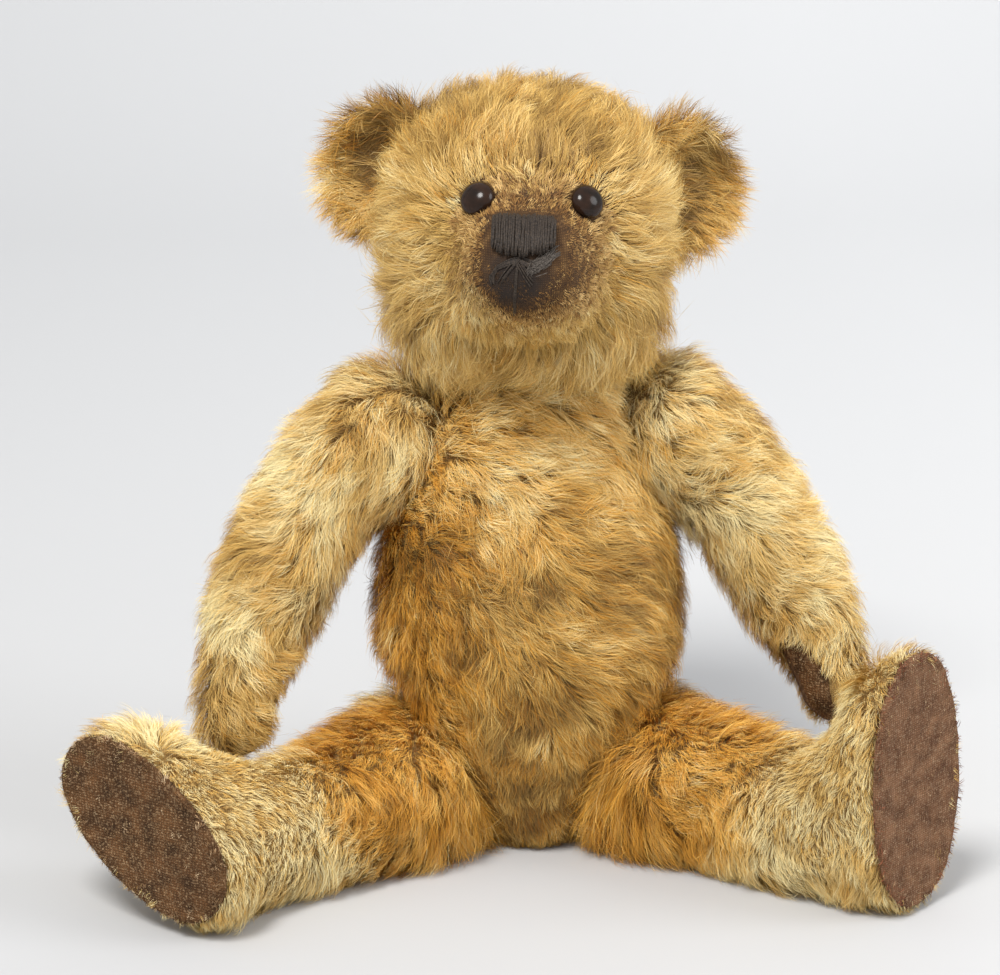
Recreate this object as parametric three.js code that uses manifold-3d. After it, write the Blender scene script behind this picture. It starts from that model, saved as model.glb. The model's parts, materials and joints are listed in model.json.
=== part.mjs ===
import * as THREE from "three";
import { mergeVertices } from "three/addons/utils/BufferGeometryUtils.js";
import Module from "manifold-3d";

// A jointed mohair teddy bear, seated with the legs forward, all lengths in millimetres.
// +Z is up and the bear faces -Y, so its own right side is on -X and its left on +X.
// Five disc joints (neck, shoulders, hips) hold it together: each has a disc and a washer
// on either side of the cloth and one split pin through the middle.

// ---- cloth, stuffing and small clearances ----
const CLOTH = 1.6;
const GAP = 0.3;
const HALF_GAP = GAP / 2;
const STUFFING_INSET = CLOTH + 2 * GAP;

// ---- joint hardware ----
const DISC_THICKNESS = 2.4;
const WASHER_THICKNESS = 0.9;
const WASHER_RADIUS = 7.5;
const PIN_RADIUS = 1.2;
const PIN_HOLE_RADIUS = 1.6;
const PIN_EYE_RADIUS = 2.6;
const PIN_CURL_REACH = 7.5;
const CAVITY_DEPTH = 14.2;

// ---- torso: height, half width, half depth and centre depth of each station ----
const TORSO_TOP = 168;
const TORSO_STATIONS = [
  [-8, 13, 17, -4],
  [0, 18.5, 24, -4],
  [10, 25, 31, -4],
  [25, 33, 37.5, -4],
  [45, 43, 42, -4],
  [65, 49, 44, -3],
  [85, 50, 43, -1],
  [105, 48, 40, 1],
  [122, 44.5, 36, 3],
  [138, 39.5, 31, 4],
  [153, 33, 27.5, 4],
  [168, 26, 24, 4],
  [182, 20, 20, 4],
];

// ---- head, in its own frame: distance forward, centre height, half width, half height ----
const HEAD_CENTRE = [0, 2, 209.5];
const HEAD_PITCH_UP = 13;
const HEAD_TURN = -6;
const HEAD_LEAN = -2.5;
const HEAD_STATIONS = [
  [-47, 1, 41, 43],
  [-25, 2, 43.5, 48],
  [0, 2, 45, 50],
  [18, -0.5, 43, 46],
  [31, -3, 36.5, 37.5],
  [41, -6, 28, 28.5],
  [50, -8, 23.5, 23],
  [60, -8, 20, 18.5],
  [70, -7, 17, 15],
  [78, -6, 14.5, 13],
];
const HEAD_BACK_CAP = 30;
const MUZZLE_CAP = 10;

// ---- ears ----
const EAR_RADIUS = 23;
const EARS = {
  right: { centre: [-47, 2, 22], turn: -22, lean: 8 },
  left: { centre: [49.5, 4, 21], turn: 40, lean: -4 },
};

// ---- eyes, nose and mouth, in the head frame ----
const EYE_RADIUS = 6;
const EYE_DEPTH = 5;
const EYES = { right: [-16.4, 12.8], left: [19, 13.2] };
const EYE_SHANK_RADIUS = 1;
const EYE_SHANK_LENGTH = 11;
const NOSE_SIZE = [22, 15.5];
const NOSE_CENTRE = [-1, 1];
const NOSE_RAISE = 2;
const MOUTH_ENDS = [[-1.5, -15], [-9.5, -11.5], [9, -8.5]];
const MOUTH_WIDTH = 1.7;
const MOUTH_RAISE = 1.1;

// ---- arms: centre of each station, half width across the swing plane, half thickness ----
const ARMS = {
  right: [
    [-40, 4, 161, 20, 19],
    [-44.5, 4, 152, 22, 21],
    [-49.2, 3, 141.5, 23, 21],
    [-66, 1, 128, 21, 19],
    [-79, -3, 111, 18.5, 17],
    [-87.5, -6, 95, 17.5, 16.5],
    [-94, -10, 79, 15.5, 15],
    [-98, -15, 65, 14, 13],
    [-101, -19, 53, 13, 12],
    [-102, -23, 43.5, 13, 11.5],
    [-101.5, -27, 36, 12, 10],
  ],
  left: [
    [39, 4, 161, 20, 19],
    [44.5, 4, 152, 22, 21],
    [49.6, 3, 141.5, 23, 21],
    [65, 1, 129, 21, 19.5],
    [78, -3, 112, 18.5, 17],
    [88, -6, 95, 17.5, 16.5],
    [95, -10, 80, 16, 15.5],
    [100, -13, 69, 13.5, 13],
    [103.5, -17, 58, 12, 11],
    [105.5, -20, 49, 12, 10],
    [106.5, -23, 41, 10.5, 8.5],
  ],
};
const ARM_TOP_CAP = 17;
const PAW_CAP = 11;
const PAW_PAD_SIZE = [17, 34];
const PALM_FACES = { right: [0.85, 0.45, -0.1], left: [-0.8, -0.6, -0.1] };

// ---- legs: centre of each station, half width, half height, outward roll in degrees ----
const LEGS = {
  right: [
    [-35, 22, 22, 20, 20, 0],
    [-36, 6, 22.2, 25, 22.5, 0],
    [-41, -13, 23, 27, 23, 0],
    [-54.5, -32, 22.5, 25, 22.5, 0],
    [-74, -48, 21, 21, 21, 8],
    [-92, -62, 21.5, 20.5, 20.5, 24],
    [-110, -73, 26, 21, 28, 46],
    [-124.5, -82, 32, 21.5, 37, 55],
    [-134.5, -91.5, 34.5, 21, 38.5, 56],
    [-143.6, -105.1, 36.5, 19.5, 37, 56],
  ],
  left: [
    [35, 22, 22, 20, 20, 0],
    [36, 6, 22.2, 25, 22.5, 0],
    [41, -13, 23, 27, 23, 0],
    [54, -33, 23, 25.5, 23, 0],
    [72, -51, 22.5, 21.5, 22.5, 2],
    [87, -68.5, 22.5, 20, 21.5, 3],
    [100.5, -81, 31, 21, 29, 4],
    [111.5, -93.5, 44.5, 22.5, 42, 5],
    [119.5, -101, 47, 23.5, 45.5, 5],
    [131, -112.1, 48.5, 22, 44, 5],
  ],
};
const SOLE_STATION = 8;
const HIP_CAP = 20;
const SOLE_CAP = 5;
const FOOT_PAD_THICKNESS = 2.2;
const FOOT_CARD_THICKNESS = 1.4;
const FOOT_CARD_INSET = 3.6;

// ---- joints: a point on the contact face, the outward direction, sizes ----
const NECK = { at: [0, 4, TORSO_TOP + HALF_GAP], out: [0, 0, 1], flat: 22, slope: 0, disc: 16 };
const SHOULDER = { at: [35.2, 3, 137.3], swing: 0, tilt: 18, flat: 15, slope: 8, disc: 11 };
const HIP = { at: [24, 2, 27], swing: -6, tilt: -27, flat: 15, slope: 7, disc: 11.5 };

// ---- faceting ----
const BODY_SEGMENTS = 16;
const HEAD_SEGMENTS = 18;
const ARM_SEGMENTS = 12;
const LEG_SEGMENTS = 14;
const TURNED_SEGMENTS = 16;

// ---- colours ----
const MOHAIR = 0xcfa45c;
const FELT = 0x6b4a30;
const WOOD_WOOL = 0xd9c48c;
const CARDBOARD = 0x9c7b52;
const STEEL = 0x8d8f92;
const BOOT_BUTTON = 0x1d110c;
const THREAD = 0x18140f;

const wasm = await Module();
wasm.setup();

const degrees = THREE.MathUtils.degToRad;

function material(colour, roughness, metalness = 0) {
  return new THREE.MeshStandardMaterial({ color: colour, roughness, metalness });
}

const CLOTH_MATERIAL = material(MOHAIR, 0.9);
const FELT_MATERIAL = material(FELT, 0.95);
const STUFFING_MATERIAL = material(WOOD_WOOL, 0.95);
const CARD_MATERIAL = material(CARDBOARD, 0.85);
const STEEL_MATERIAL = material(STEEL, 0.4, 1);
const BUTTON_MATERIAL = material(BOOT_BUTTON, 0.15);
const THREAD_MATERIAL = material(THREAD, 0.7);

// ---- solids: three.js geometry in, manifold bodies combined, three.js geometry out ----

function toBody(geometry) {
  const bare = geometry.clone();
  bare.deleteAttribute("normal");
  bare.deleteAttribute("uv");
  const merged = mergeVertices(bare, 1e-4);
  return new wasm.Manifold(new wasm.Mesh({
    numProp: 3,
    vertProperties: new Float32Array(merged.attributes.position.array),
    triVerts: new Uint32Array(merged.index.array),
  }));
}

function toGeometry(body) {
  const mesh = body.getMesh();
  const geometry = new THREE.BufferGeometry();
  geometry.setAttribute("position", new THREE.BufferAttribute(mesh.vertProperties, 3));
  geometry.setIndex(new THREE.BufferAttribute(mesh.triVerts, 1));
  const flat = geometry.toNonIndexed();
  flat.computeVertexNormals();
  return flat;
}

function meshOf(name, body, look) {
  const mesh = new THREE.Mesh(toGeometry(body), look);
  mesh.name = name;
  return mesh;
}

function placedBody(geometry, matrix) {
  return toBody(geometry.clone().applyMatrix4(matrix));
}

// ---- frames ----

function vector(list) {
  return new THREE.Vector3(list[0], list[1], list[2]);
}

// The matrix that puts local +Z along a direction at a point, with local X level.
function frameAlong(at, direction) {
  const z = direction.clone().normalize();
  const upright = Math.abs(z.z) > 0.99;
  const level = upright ? new THREE.Vector3(1, 0, 0) : new THREE.Vector3(-z.y, z.x, 0).normalize();
  const y = new THREE.Vector3().crossVectors(z, level);
  return new THREE.Matrix4().makeBasis(level, y, z).setPosition(at);
}

function sideSign(side) {
  return side === "left" ? 1 : -1;
}

// The outward direction and centre of a side joint, mirrored for the right side.
function sideJoint(joint, side) {
  const sign = sideSign(side);
  const swing = degrees(joint.swing);
  const tilt = degrees(joint.tilt);
  const out = new THREE.Vector3(
    sign * Math.cos(swing) * Math.cos(tilt),
    Math.sin(swing) * Math.cos(tilt),
    Math.sin(tilt),
  );
  const at = new THREE.Vector3(sign * joint.at[0], joint.at[1], joint.at[2]);
  return { ...joint, at, out, frame: frameAlong(at, out) };
}

function neckJoint() {
  const at = vector(NECK.at);
  const out = vector(NECK.out);
  return { ...NECK, at, out, frame: frameAlong(at, out) };
}

// Everything on the limb side of a joint face: a flat disc that opens into a shallow cone.
function limbSide(joint, offset) {
  const reach = 170;
  const rise = Math.tan(degrees(joint.slope)) * (reach - joint.flat);
  const profile = [
    new THREE.Vector2(0, offset),
    new THREE.Vector2(joint.flat, offset),
    new THREE.Vector2(reach, offset + rise),
    new THREE.Vector2(reach, 300),
    new THREE.Vector2(0, 300),
  ];
  return placedBody(latheUpright(profile, TURNED_SEGMENTS), joint.frame);
}

// ---- lofts ----

// A turned solid about local Z; the profile runs (radius, height).
function latheUpright(profile, segments) {
  const geometry = new THREE.LatheGeometry(profile, segments);
  geometry.rotateX(Math.PI / 2);
  return geometry;
}

// Smoothly interpolated rows of numbers, at a fraction from 0 to 1 along them.
function rowAt(rows, fraction) {
  const place = fraction * (rows.length - 1);
  const first = Math.min(Math.floor(place), rows.length - 2);
  const t = place - first;
  const row = (index) => rows[Math.min(Math.max(index, 0), rows.length - 1)];
  return rows[0].map((_, column) => {
    const a = row(first - 1)[column];
    const b = row(first)[column];
    const c = row(first + 1)[column];
    const d = row(first + 2)[column];
    const bend = 2 * a - 5 * b + 4 * c - d;
    const twist = 3 * b - a - 3 * c + d;
    return 0.5 * (2 * b + (c - a) * t + bend * t ** 2 + twist * t ** 3);
  });
}

// How much a section shrinks inside a rounded end.
function capFactor(distance, cap) {
  if (cap <= 0 || distance >= cap) {
    return 1;
  }
  return Math.sqrt(Math.max(0, 1 - (1 - distance / cap) ** 2));
}

// Distances of the rings: one at each station, and closer ones inside the rounded ends.
function ringDistances(table, stations, startCap, endCap) {
  const length = table[table.length - 1];
  const caps = [28, 60].map((angle) => 1 - Math.cos(degrees(angle)));
  const start = caps.map((part) => part * startCap);
  const end = caps.map((part) => length - part * endCap).reverse();
  const middle = [];
  for (let i = 0; i < stations; i += 1) {
    const distance = table[Math.round(((table.length - 1) * i) / (stations - 1))];
    if (distance > startCap * 0.75 && distance < length - endCap * 0.75) {
      middle.push(distance);
    }
  }
  return [...start, ...middle, ...end];
}

function lengthTable(rows) {
  const steps = 24 * (rows.length - 1);
  const table = [0];
  for (let i = 1; i <= steps; i += 1) {
    const a = rowAt(rows, (i - 1) / steps);
    const b = rowAt(rows, i / steps);
    table.push(table[i - 1] + Math.hypot(b[0] - a[0], b[1] - a[1], b[2] - a[2]));
  }
  return table;
}

function fractionAt(table, distance) {
  const steps = table.length - 1;
  let i = 1;
  while (i < steps && table[i] < distance) {
    i += 1;
  }
  const span = table[i] - table[i - 1];
  return (i - 1 + (distance - table[i - 1]) / span) / steps;
}

function roundedPower(value, power) {
  return Math.sign(value) * Math.abs(value) ** (2 / power);
}

// A closed skin through oval sections along a curved centre line.
// rows: x, y, z, half width, half height, roll; the hint sets which way a section's height runs.
// A section stands square to the line a little way each side of it (reach), or upright (level).
function loft(rows, hint, options) {
  const { startCap, endCap, segments, power, reach = 0.01, level = false } = options;
  const full = rows.map((row) => (row.length < 6 ? [...row, 0] : row));
  const table = lengthTable(full);
  const length = table[table.length - 1];
  const positions = [];
  const rowsAlong = ringDistances(table, rows.length, startCap, endCap);
  for (const distance of rowsAlong) {
    const fraction = fractionAt(table, distance);
    const row = rowAt(full, fraction);
    const ahead = rowAt(full, Math.min(1, fraction + reach));
    const behind = rowAt(full, Math.max(0, fraction - reach));
    const along = new THREE.Vector3(ahead[0] - behind[0], ahead[1] - behind[1], ahead[2] - behind[2]);
    if (level) {
      along.setZ(0);
    }
    along.normalize();
    const across = new THREE.Vector3().crossVectors(along, hint).normalize();
    const up = new THREE.Vector3().crossVectors(across, along);
    const turn = new THREE.Quaternion().setFromAxisAngle(along, degrees(row[5]));
    across.applyQuaternion(turn);
    up.applyQuaternion(turn);
    const size = capFactor(distance, startCap) * capFactor(length - distance, endCap);
    for (let i = 0; i < segments; i += 1) {
      const angle = (2 * Math.PI * i) / segments;
      const a = row[3] * size * roundedPower(Math.cos(angle), power);
      const b = row[4] * size * roundedPower(Math.sin(angle), power);
      positions.push(
        row[0] + across.x * a + up.x * b,
        row[1] + across.y * a + up.y * b,
        row[2] + across.z * a + up.z * b,
      );
    }
  }
  return closedRings(positions, rowsAlong.length, segments, rowAt(full, 0), rowAt(full, 1));
}

// Joins rings of points into one closed surface with a point at each end.
function closedRings(positions, rings, segments, first, last) {
  const start = positions.length / 3;
  positions.push(first[0], first[1], first[2], last[0], last[1], last[2]);
  const index = [];
  for (let i = 0; i < segments; i += 1) {
    const next = (i + 1) % segments;
    index.push(start, next, i);
    const end = (rings - 1) * segments;
    index.push(start + 1, end + i, end + next);
    for (let ring = 0; ring < rings - 1; ring += 1) {
      const a = ring * segments + i;
      const b = ring * segments + next;
      index.push(a, b, b + segments, a, b + segments, a + segments);
    }
  }
  const geometry = new THREE.BufferGeometry();
  geometry.setAttribute("position", new THREE.Float32BufferAttribute(positions, 3));
  geometry.setIndex(index);
  geometry.computeVertexNormals();
  return facedOutward(geometry);
}

function signedVolume(geometry) {
  const p = geometry.attributes.position;
  const index = geometry.index;
  const a = new THREE.Vector3();
  const b = new THREE.Vector3();
  const c = new THREE.Vector3();
  let total = 0;
  for (let i = 0; i < index.count; i += 3) {
    a.fromBufferAttribute(p, index.getX(i));
    b.fromBufferAttribute(p, index.getX(i + 1));
    c.fromBufferAttribute(p, index.getX(i + 2));
    total += a.dot(b.cross(c)) / 6;
  }
  return total;
}

function facedOutward(geometry) {
  if (signedVolume(geometry) < 0) {
    const index = geometry.index;
    for (let i = 0; i < index.count; i += 3) {
      const swap = index.getX(i);
      index.setX(i, index.getX(i + 1));
      index.setX(i + 1, swap);
    }
    geometry.computeVertexNormals();
  }
  return geometry;
}

// The same surface moved inward by a distance (outward when the distance is negative).
function inset(geometry, distance) {
  const moved = geometry.clone();
  const p = moved.attributes.position;
  const n = moved.attributes.normal;
  for (let i = 0; i < p.count; i += 1) {
    p.setXYZ(
      i,
      p.getX(i) - n.getX(i) * distance,
      p.getY(i) - n.getY(i) * distance,
      p.getZ(i) - n.getZ(i) * distance,
    );
  }
  return moved;
}

// ---- simple solids ----

function cylinderGeometry(radius, from, to, segments) {
  const geometry = new THREE.CylinderGeometry(radius, radius, to - from, segments);
  geometry.rotateX(Math.PI / 2);
  geometry.translate(0, 0, (from + to) / 2);
  return geometry;
}

function cylinderBody(radius, from, to, frame, segments = TURNED_SEGMENTS) {
  return placedBody(cylinderGeometry(radius, from, to, segments), frame);
}

function boxBody(size, centre) {
  const geometry = new THREE.BoxGeometry(size[0], size[1], size[2]);
  geometry.translate(centre[0], centre[1], centre[2]);
  return toBody(geometry);
}

// A flat ring about local Z, such as a disc with a pin hole.
function ringMesh(name, outer, from, to, segments, look) {
  const profile = [
    new THREE.Vector2(PIN_HOLE_RADIUS, from),
    new THREE.Vector2(outer, from),
    new THREE.Vector2(outer, to),
    new THREE.Vector2(PIN_HOLE_RADIUS, to),
    new THREE.Vector2(PIN_HOLE_RADIUS, from),
  ];
  return meshOf(name, toBody(latheUpright(profile, segments)), look);
}

// ---- joint hardware ----

function pinCurl(sign) {
  const points = [
    new THREE.Vector3(sign * 0.5, 0, -6.4),
    new THREE.Vector3(sign * 1.6, 0, -9.6),
    new THREE.Vector3(sign * 4.2, 0, -11.6),
    new THREE.Vector3(sign * 6.8, 0, -10.8),
    new THREE.Vector3(sign * PIN_CURL_REACH, 0, -8),
  ];
  const round = new THREE.Shape();
  round.absarc(0, 0, 0.9, 0, 2 * Math.PI, false);
  return new THREE.ExtrudeGeometry(round, {
    steps: 4,
    curveSegments: 3,
    extrudePath: new THREE.CatmullRomCurve3(points),
  });
}

// A split pin: an eye on the limb side, a straight shank, two legs curled over the washer.
function splitPin() {
  const shankTop = HALF_GAP + CLOTH + GAP + DISC_THICKNESS + GAP + WASHER_THICKNESS + GAP + 1.4;
  const eye = new THREE.TorusGeometry(PIN_EYE_RADIUS, 1.1, 5, 9);
  eye.rotateX(Math.PI / 2);
  eye.translate(0, 0, shankTop + PIN_EYE_RADIUS - 0.6);
  return toBody(cylinderGeometry(PIN_RADIUS, -7.4, shankTop, 8))
    .add(toBody(eye))
    .add(toBody(pinCurl(1)))
    .add(toBody(pinCurl(-1)));
}

// A group at a joint, its local +Z along the joint's axis.
function alongJoint(joint, meshes) {
  const group = new THREE.Group();
  group.position.copy(joint.at);
  group.quaternion.setFromRotationMatrix(joint.frame);
  group.add(...meshes);
  return group;
}

// The disc and washer on each side of the cloth, and the pin, which turns with the limb.
function jointHardware(name, joint) {
  const discFrom = HALF_GAP + CLOTH + GAP;
  const discTo = discFrom + DISC_THICKNESS;
  const washerFrom = discTo + GAP;
  const washerTo = washerFrom + WASHER_THICKNESS;
  return alongJoint(joint, [
    ringMesh(`${name}_limb_disc`, joint.disc, discFrom, discTo, TURNED_SEGMENTS, CARD_MATERIAL),
    ringMesh(`${name}_limb_washer`, WASHER_RADIUS, washerFrom, washerTo, 10, STEEL_MATERIAL),
    ringMesh(`${name}_body_disc`, joint.disc, -discTo, -discFrom, TURNED_SEGMENTS, CARD_MATERIAL),
    ringMesh(`${name}_body_washer`, WASHER_RADIUS, -washerTo, -washerFrom, 10, STEEL_MATERIAL),
    meshOf(`${name}_pin`, splitPin(), STEEL_MATERIAL),
  ]);
}

// The room left in the stuffing, on one side of a joint, for the disc and the pin to turn in.
function cavity(joint, side) {
  const from = side === "limb" ? 0.5 : -CAVITY_DEPTH;
  const to = side === "limb" ? CAVITY_DEPTH : -0.5;
  return cylinderBody(joint.disc + 0.8, from, to, joint.frame);
}

function pinHole(joint) {
  return cylinderBody(PIN_HOLE_RADIUS + 0.1, -6, 6, joint.frame, 8);
}

// ---- the limbs: a cloth skin and the stuffing inside it ----

// Cuts a limb's outer form into its cloth skin and stuffing, flat where it meets the torso.
function skinAndStuffing(surface, joint, extraCuts) {
  const outer = toBody(surface).intersect(limbSide(joint, HALF_GAP));
  const inner = toBody(inset(surface, CLOTH)).intersect(limbSide(joint, HALF_GAP + CLOTH));
  const core = toBody(inset(surface, STUFFING_INSET)).intersect(limbSide(joint, HALF_GAP + STUFFING_INSET));
  let skin = outer.subtract(inner).subtract(pinHole(joint));
  let stuffing = core.subtract(cavity(joint, "limb"));
  for (const cut of extraCuts.skin) {
    skin = skin.subtract(cut);
  }
  for (const cut of extraCuts.stuffing) {
    stuffing = stuffing.subtract(cut);
  }
  return { skin, stuffing, outer };
}

function torsoSurface() {
  const rows = TORSO_STATIONS.map(([z, width, depth, y]) => [0, y, z, width, depth, 0]);
  return loft(rows, new THREE.Vector3(0, 1, 0), {
    startCap: 8, endCap: 10, segments: BODY_SEGMENTS, power: 2.15,
  });
}

function buildTorso(joints) {
  const surface = torsoSurface();
  const level = (inside) => boxBody([200, 200, TORSO_TOP - 2 * inside], [0, 0, TORSO_TOP / 2]);
  let outer = toBody(surface).intersect(level(0));
  let inner = toBody(inset(surface, CLOTH)).intersect(level(CLOTH));
  let stuffing = toBody(inset(surface, STUFFING_INSET)).intersect(level(STUFFING_INSET));
  for (const joint of joints) {
    if (joint.slope > 0) {
      outer = outer.subtract(limbSide(joint, -HALF_GAP));
      inner = inner.subtract(limbSide(joint, -HALF_GAP - CLOTH));
      stuffing = stuffing.subtract(limbSide(joint, -HALF_GAP - STUFFING_INSET));
    }
    stuffing = stuffing.subtract(cavity(joint, "body"));
  }
  let skin = outer.subtract(inner);
  for (const joint of joints) {
    skin = skin.subtract(pinHole(joint));
  }
  return [
    meshOf("body_skin", skin, CLOTH_MATERIAL),
    meshOf("body_stuffing", stuffing, STUFFING_MATERIAL),
  ];
}

// ---- head ----

function headMatrix() {
  const turn = new THREE.Euler(degrees(-HEAD_PITCH_UP), degrees(-HEAD_LEAN), degrees(HEAD_TURN), "ZYX");
  return new THREE.Matrix4().makeRotationFromEuler(turn).setPosition(vector(HEAD_CENTRE));
}

function headSurface(matrix) {
  const rows = HEAD_STATIONS.map(([forward, up, width, height]) => [0, -forward, up, width, height, 0]);
  const surface = loft(rows, new THREE.Vector3(0, 0, 1), {
    startCap: HEAD_BACK_CAP, endCap: MUZZLE_CAP, segments: HEAD_SEGMENTS, power: 2.5,
  });
  surface.applyMatrix4(matrix);
  surface.computeVertexNormals();
  return surface;
}

// Where a line running backward through the head frame first meets the head.
function headPoint(surface, matrix, x, z) {
  const from = new THREE.Vector3(x, -120, z).applyMatrix4(matrix);
  const direction = new THREE.Vector3(0, 1, 0).transformDirection(matrix);
  const mesh = new THREE.Mesh(surface, new THREE.MeshBasicMaterial({ side: THREE.DoubleSide }));
  return new THREE.Raycaster(from, direction).intersectObject(mesh)[0].point;
}

function eyeProfile() {
  const points = [new THREE.Vector2(0, -1.2), new THREE.Vector2(EYE_RADIUS * 0.75, -1.2)];
  for (const angle of [-20, 15, 45, 70]) {
    const a = degrees(angle);
    points.push(new THREE.Vector2(EYE_RADIUS * Math.cos(a), 1.4 + (EYE_DEPTH - 1.4) * Math.sin(a)));
  }
  points.push(new THREE.Vector2(0, EYE_DEPTH));
  return points;
}

// The direction an eye faces: mostly along the muzzle, leaning to its own side.
function eyeFrame(surface, matrix, side) {
  const sign = sideSign(side);
  const at = headPoint(surface, matrix, EYES[side][0], EYES[side][1]);
  const out = new THREE.Vector3(sign * 0.3, -1, 0.22).normalize().transformDirection(matrix);
  return frameAlong(at, out);
}

function extrudedForward(shape, matrix) {
  const geometry = new THREE.ExtrudeGeometry(shape, { depth: 60, bevelEnabled: false, curveSegments: 2 });
  geometry.rotateX(Math.PI / 2);
  geometry.translate(0, -40, 0);
  return placedBody(geometry, matrix);
}

function roundedRectangle(width, height, radius, x, z) {
  const shape = new THREE.Shape();
  const left = x - width / 2;
  const right = x + width / 2;
  const low = z - height / 2;
  const high = z + height / 2;
  shape.moveTo(left + radius, low);
  shape.lineTo(right - radius, low);
  shape.quadraticCurveTo(right, low, right, low + radius);
  shape.lineTo(right, high - radius);
  shape.quadraticCurveTo(right, high, right - radius, high);
  shape.lineTo(left + radius, high);
  shape.quadraticCurveTo(left, high, left, high - radius);
  shape.lineTo(left, low + radius);
  shape.quadraticCurveTo(left, low, left + radius, low);
  return shape;
}

function strip(from, to, width) {
  const dx = to[0] - from[0];
  const dy = to[1] - from[1];
  const length = Math.hypot(dx, dy);
  const nx = (-dy / length) * (width / 2);
  const ny = (dx / length) * (width / 2);
  const shape = new THREE.Shape();
  shape.moveTo(from[0] + nx, from[1] + ny);
  shape.lineTo(to[0] + nx, to[1] + ny);
  shape.lineTo(to[0] - nx, to[1] - ny);
  shape.lineTo(from[0] - nx, from[1] - ny);
  shape.closePath();
  return shape;
}

// Thread that lies on the muzzle: a thin layer of the grown head form inside an outline.
function threadLayer(surface, outline, raise) {
  const high = toBody(inset(surface, -raise - GAP));
  const low = toBody(inset(surface, -GAP));
  return high.subtract(low).intersect(outline);
}

function buildNoseAndMouth(surface, matrix) {
  const [x, z] = NOSE_CENTRE;
  const nose = extrudedForward(roundedRectangle(NOSE_SIZE[0], NOSE_SIZE[1], 4, x, z), matrix);
  const low = z - NOSE_SIZE[1] / 2 - GAP - MOUTH_WIDTH / 2;
  const mouth = MOUTH_ENDS
    .map((end) => extrudedForward(strip([x, low], end, MOUTH_WIDTH), matrix))
    .reduce((joined, next) => joined.add(next));
  return [
    meshOf("nose_stitching", threadLayer(surface, nose, NOSE_RAISE), THREAD_MATERIAL),
    meshOf("mouth_stitching", threadLayer(surface, mouth, MOUTH_RAISE), THREAD_MATERIAL),
  ];
}

function earBody(ear, matrix, headGrown) {
  const profile = [
    [0, 2.4], [11, 1], [17.8, -3], [20.4, -5.8],
    [EAR_RADIUS, -4.6], [20.5, -0.8], [13, 4], [0, 6],
  ].map(([radius, height]) => new THREE.Vector2(radius, height));
  const geometry = latheUpright(profile, TURNED_SEGMENTS);
  geometry.rotateX(-Math.PI / 2);
  geometry.rotateY(degrees(ear.lean));
  geometry.rotateZ(degrees(ear.turn));
  geometry.translate(...ear.centre);
  return placedBody(geometry, matrix).subtract(headGrown);
}

function buildHead(joint) {
  const matrix = headMatrix();
  const surface = headSurface(matrix);
  const eyeFrames = ["left", "right"].map((side) => eyeFrame(surface, matrix, side));
  const shankHole = (frame) => cylinderBody(EYE_SHANK_RADIUS + GAP, -EYE_SHANK_LENGTH - 3, 4, frame, 10);
  const holes = eyeFrames.map(shankHole);
  const { skin, stuffing } = skinAndStuffing(surface, joint, { skin: holes, stuffing: holes });
  const grown = toBody(inset(surface, -GAP));
  const parts = [
    meshOf("head_skin", skin, CLOTH_MATERIAL),
    meshOf("head_stuffing", stuffing, STUFFING_MATERIAL),
    ...buildNoseAndMouth(surface, matrix),
  ];
  ["left", "right"].forEach((side, i) => {
    const button = placedBody(latheUpright(eyeProfile(), 14), eyeFrames[i]).subtract(grown);
    const shank = cylinderBody(EYE_SHANK_RADIUS, -EYE_SHANK_LENGTH, -1.5, eyeFrames[i], 8);
    parts.push(meshOf(`eye_${side}`, button, BUTTON_MATERIAL));
    parts.push(meshOf(`eye_shank_${side}`, shank, STEEL_MATERIAL));
    parts.push(meshOf(`ear_${side}`, earBody(EARS[side], matrix, grown), CLOTH_MATERIAL));
  });
  return parts;
}

// ---- arms ----

// The frame of a palm: local +Z runs out of it, square to the paw.
function palmFrame(side, stations) {
  const from = vector(stations[stations.length - 4]);
  const to = vector(stations[stations.length - 1]);
  const centre = vector(stations[stations.length - 3]);
  const along = to.clone().sub(from).normalize();
  const palm = vector(PALM_FACES[side]);
  palm.addScaledVector(along, -palm.dot(along)).normalize();
  const across = new THREE.Vector3().crossVectors(along, palm);
  return new THREE.Matrix4().makeBasis(across, along, palm).setPosition(centre);
}

function padOutline(frame, grow) {
  const shape = new THREE.Shape();
  shape.absellipse(0, 2, PAW_PAD_SIZE[0] / 2 + grow, PAW_PAD_SIZE[1] / 2 + grow, 0, 2 * Math.PI, false, 0);
  const geometry = new THREE.ExtrudeGeometry(shape, { depth: 30, bevelEnabled: false, curveSegments: 7 });
  return placedBody(geometry, frame);
}

function buildArm(side, joint) {
  const stations = ARMS[side];
  const surface = loft(stations, joint.out, {
    startCap: ARM_TOP_CAP, endCap: PAW_CAP, segments: ARM_SEGMENTS, power: 2.3,
  });
  const frame = palmFrame(side, stations);
  const padHole = padOutline(frame, GAP);
  const { skin, stuffing } = skinAndStuffing(surface, joint, { skin: [padHole], stuffing: [] });
  const pad = toBody(surface).subtract(toBody(inset(surface, CLOTH))).intersect(padOutline(frame, 0));
  return [
    meshOf(`arm_skin_${side}`, skin, CLOTH_MATERIAL),
    meshOf(`arm_stuffing_${side}`, stuffing, STUFFING_MATERIAL),
    meshOf(`paw_pad_${side}`, pad, FELT_MATERIAL),
  ];
}

// ---- legs ----

// The frame of the flat sole: local +Z runs out of the foot.
function soleFrame(leg) {
  const at = vector(leg[SOLE_STATION]);
  const along = vector(leg[SOLE_STATION + 1]).sub(vector(leg[SOLE_STATION - 1])).setZ(0);
  return frameAlong(at, along);
}

function slab(frame, from, to) {
  const geometry = new THREE.BoxGeometry(260, 260, to - from);
  geometry.translate(0, 0, (from + to) / 2);
  return placedBody(geometry, frame);
}

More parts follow.
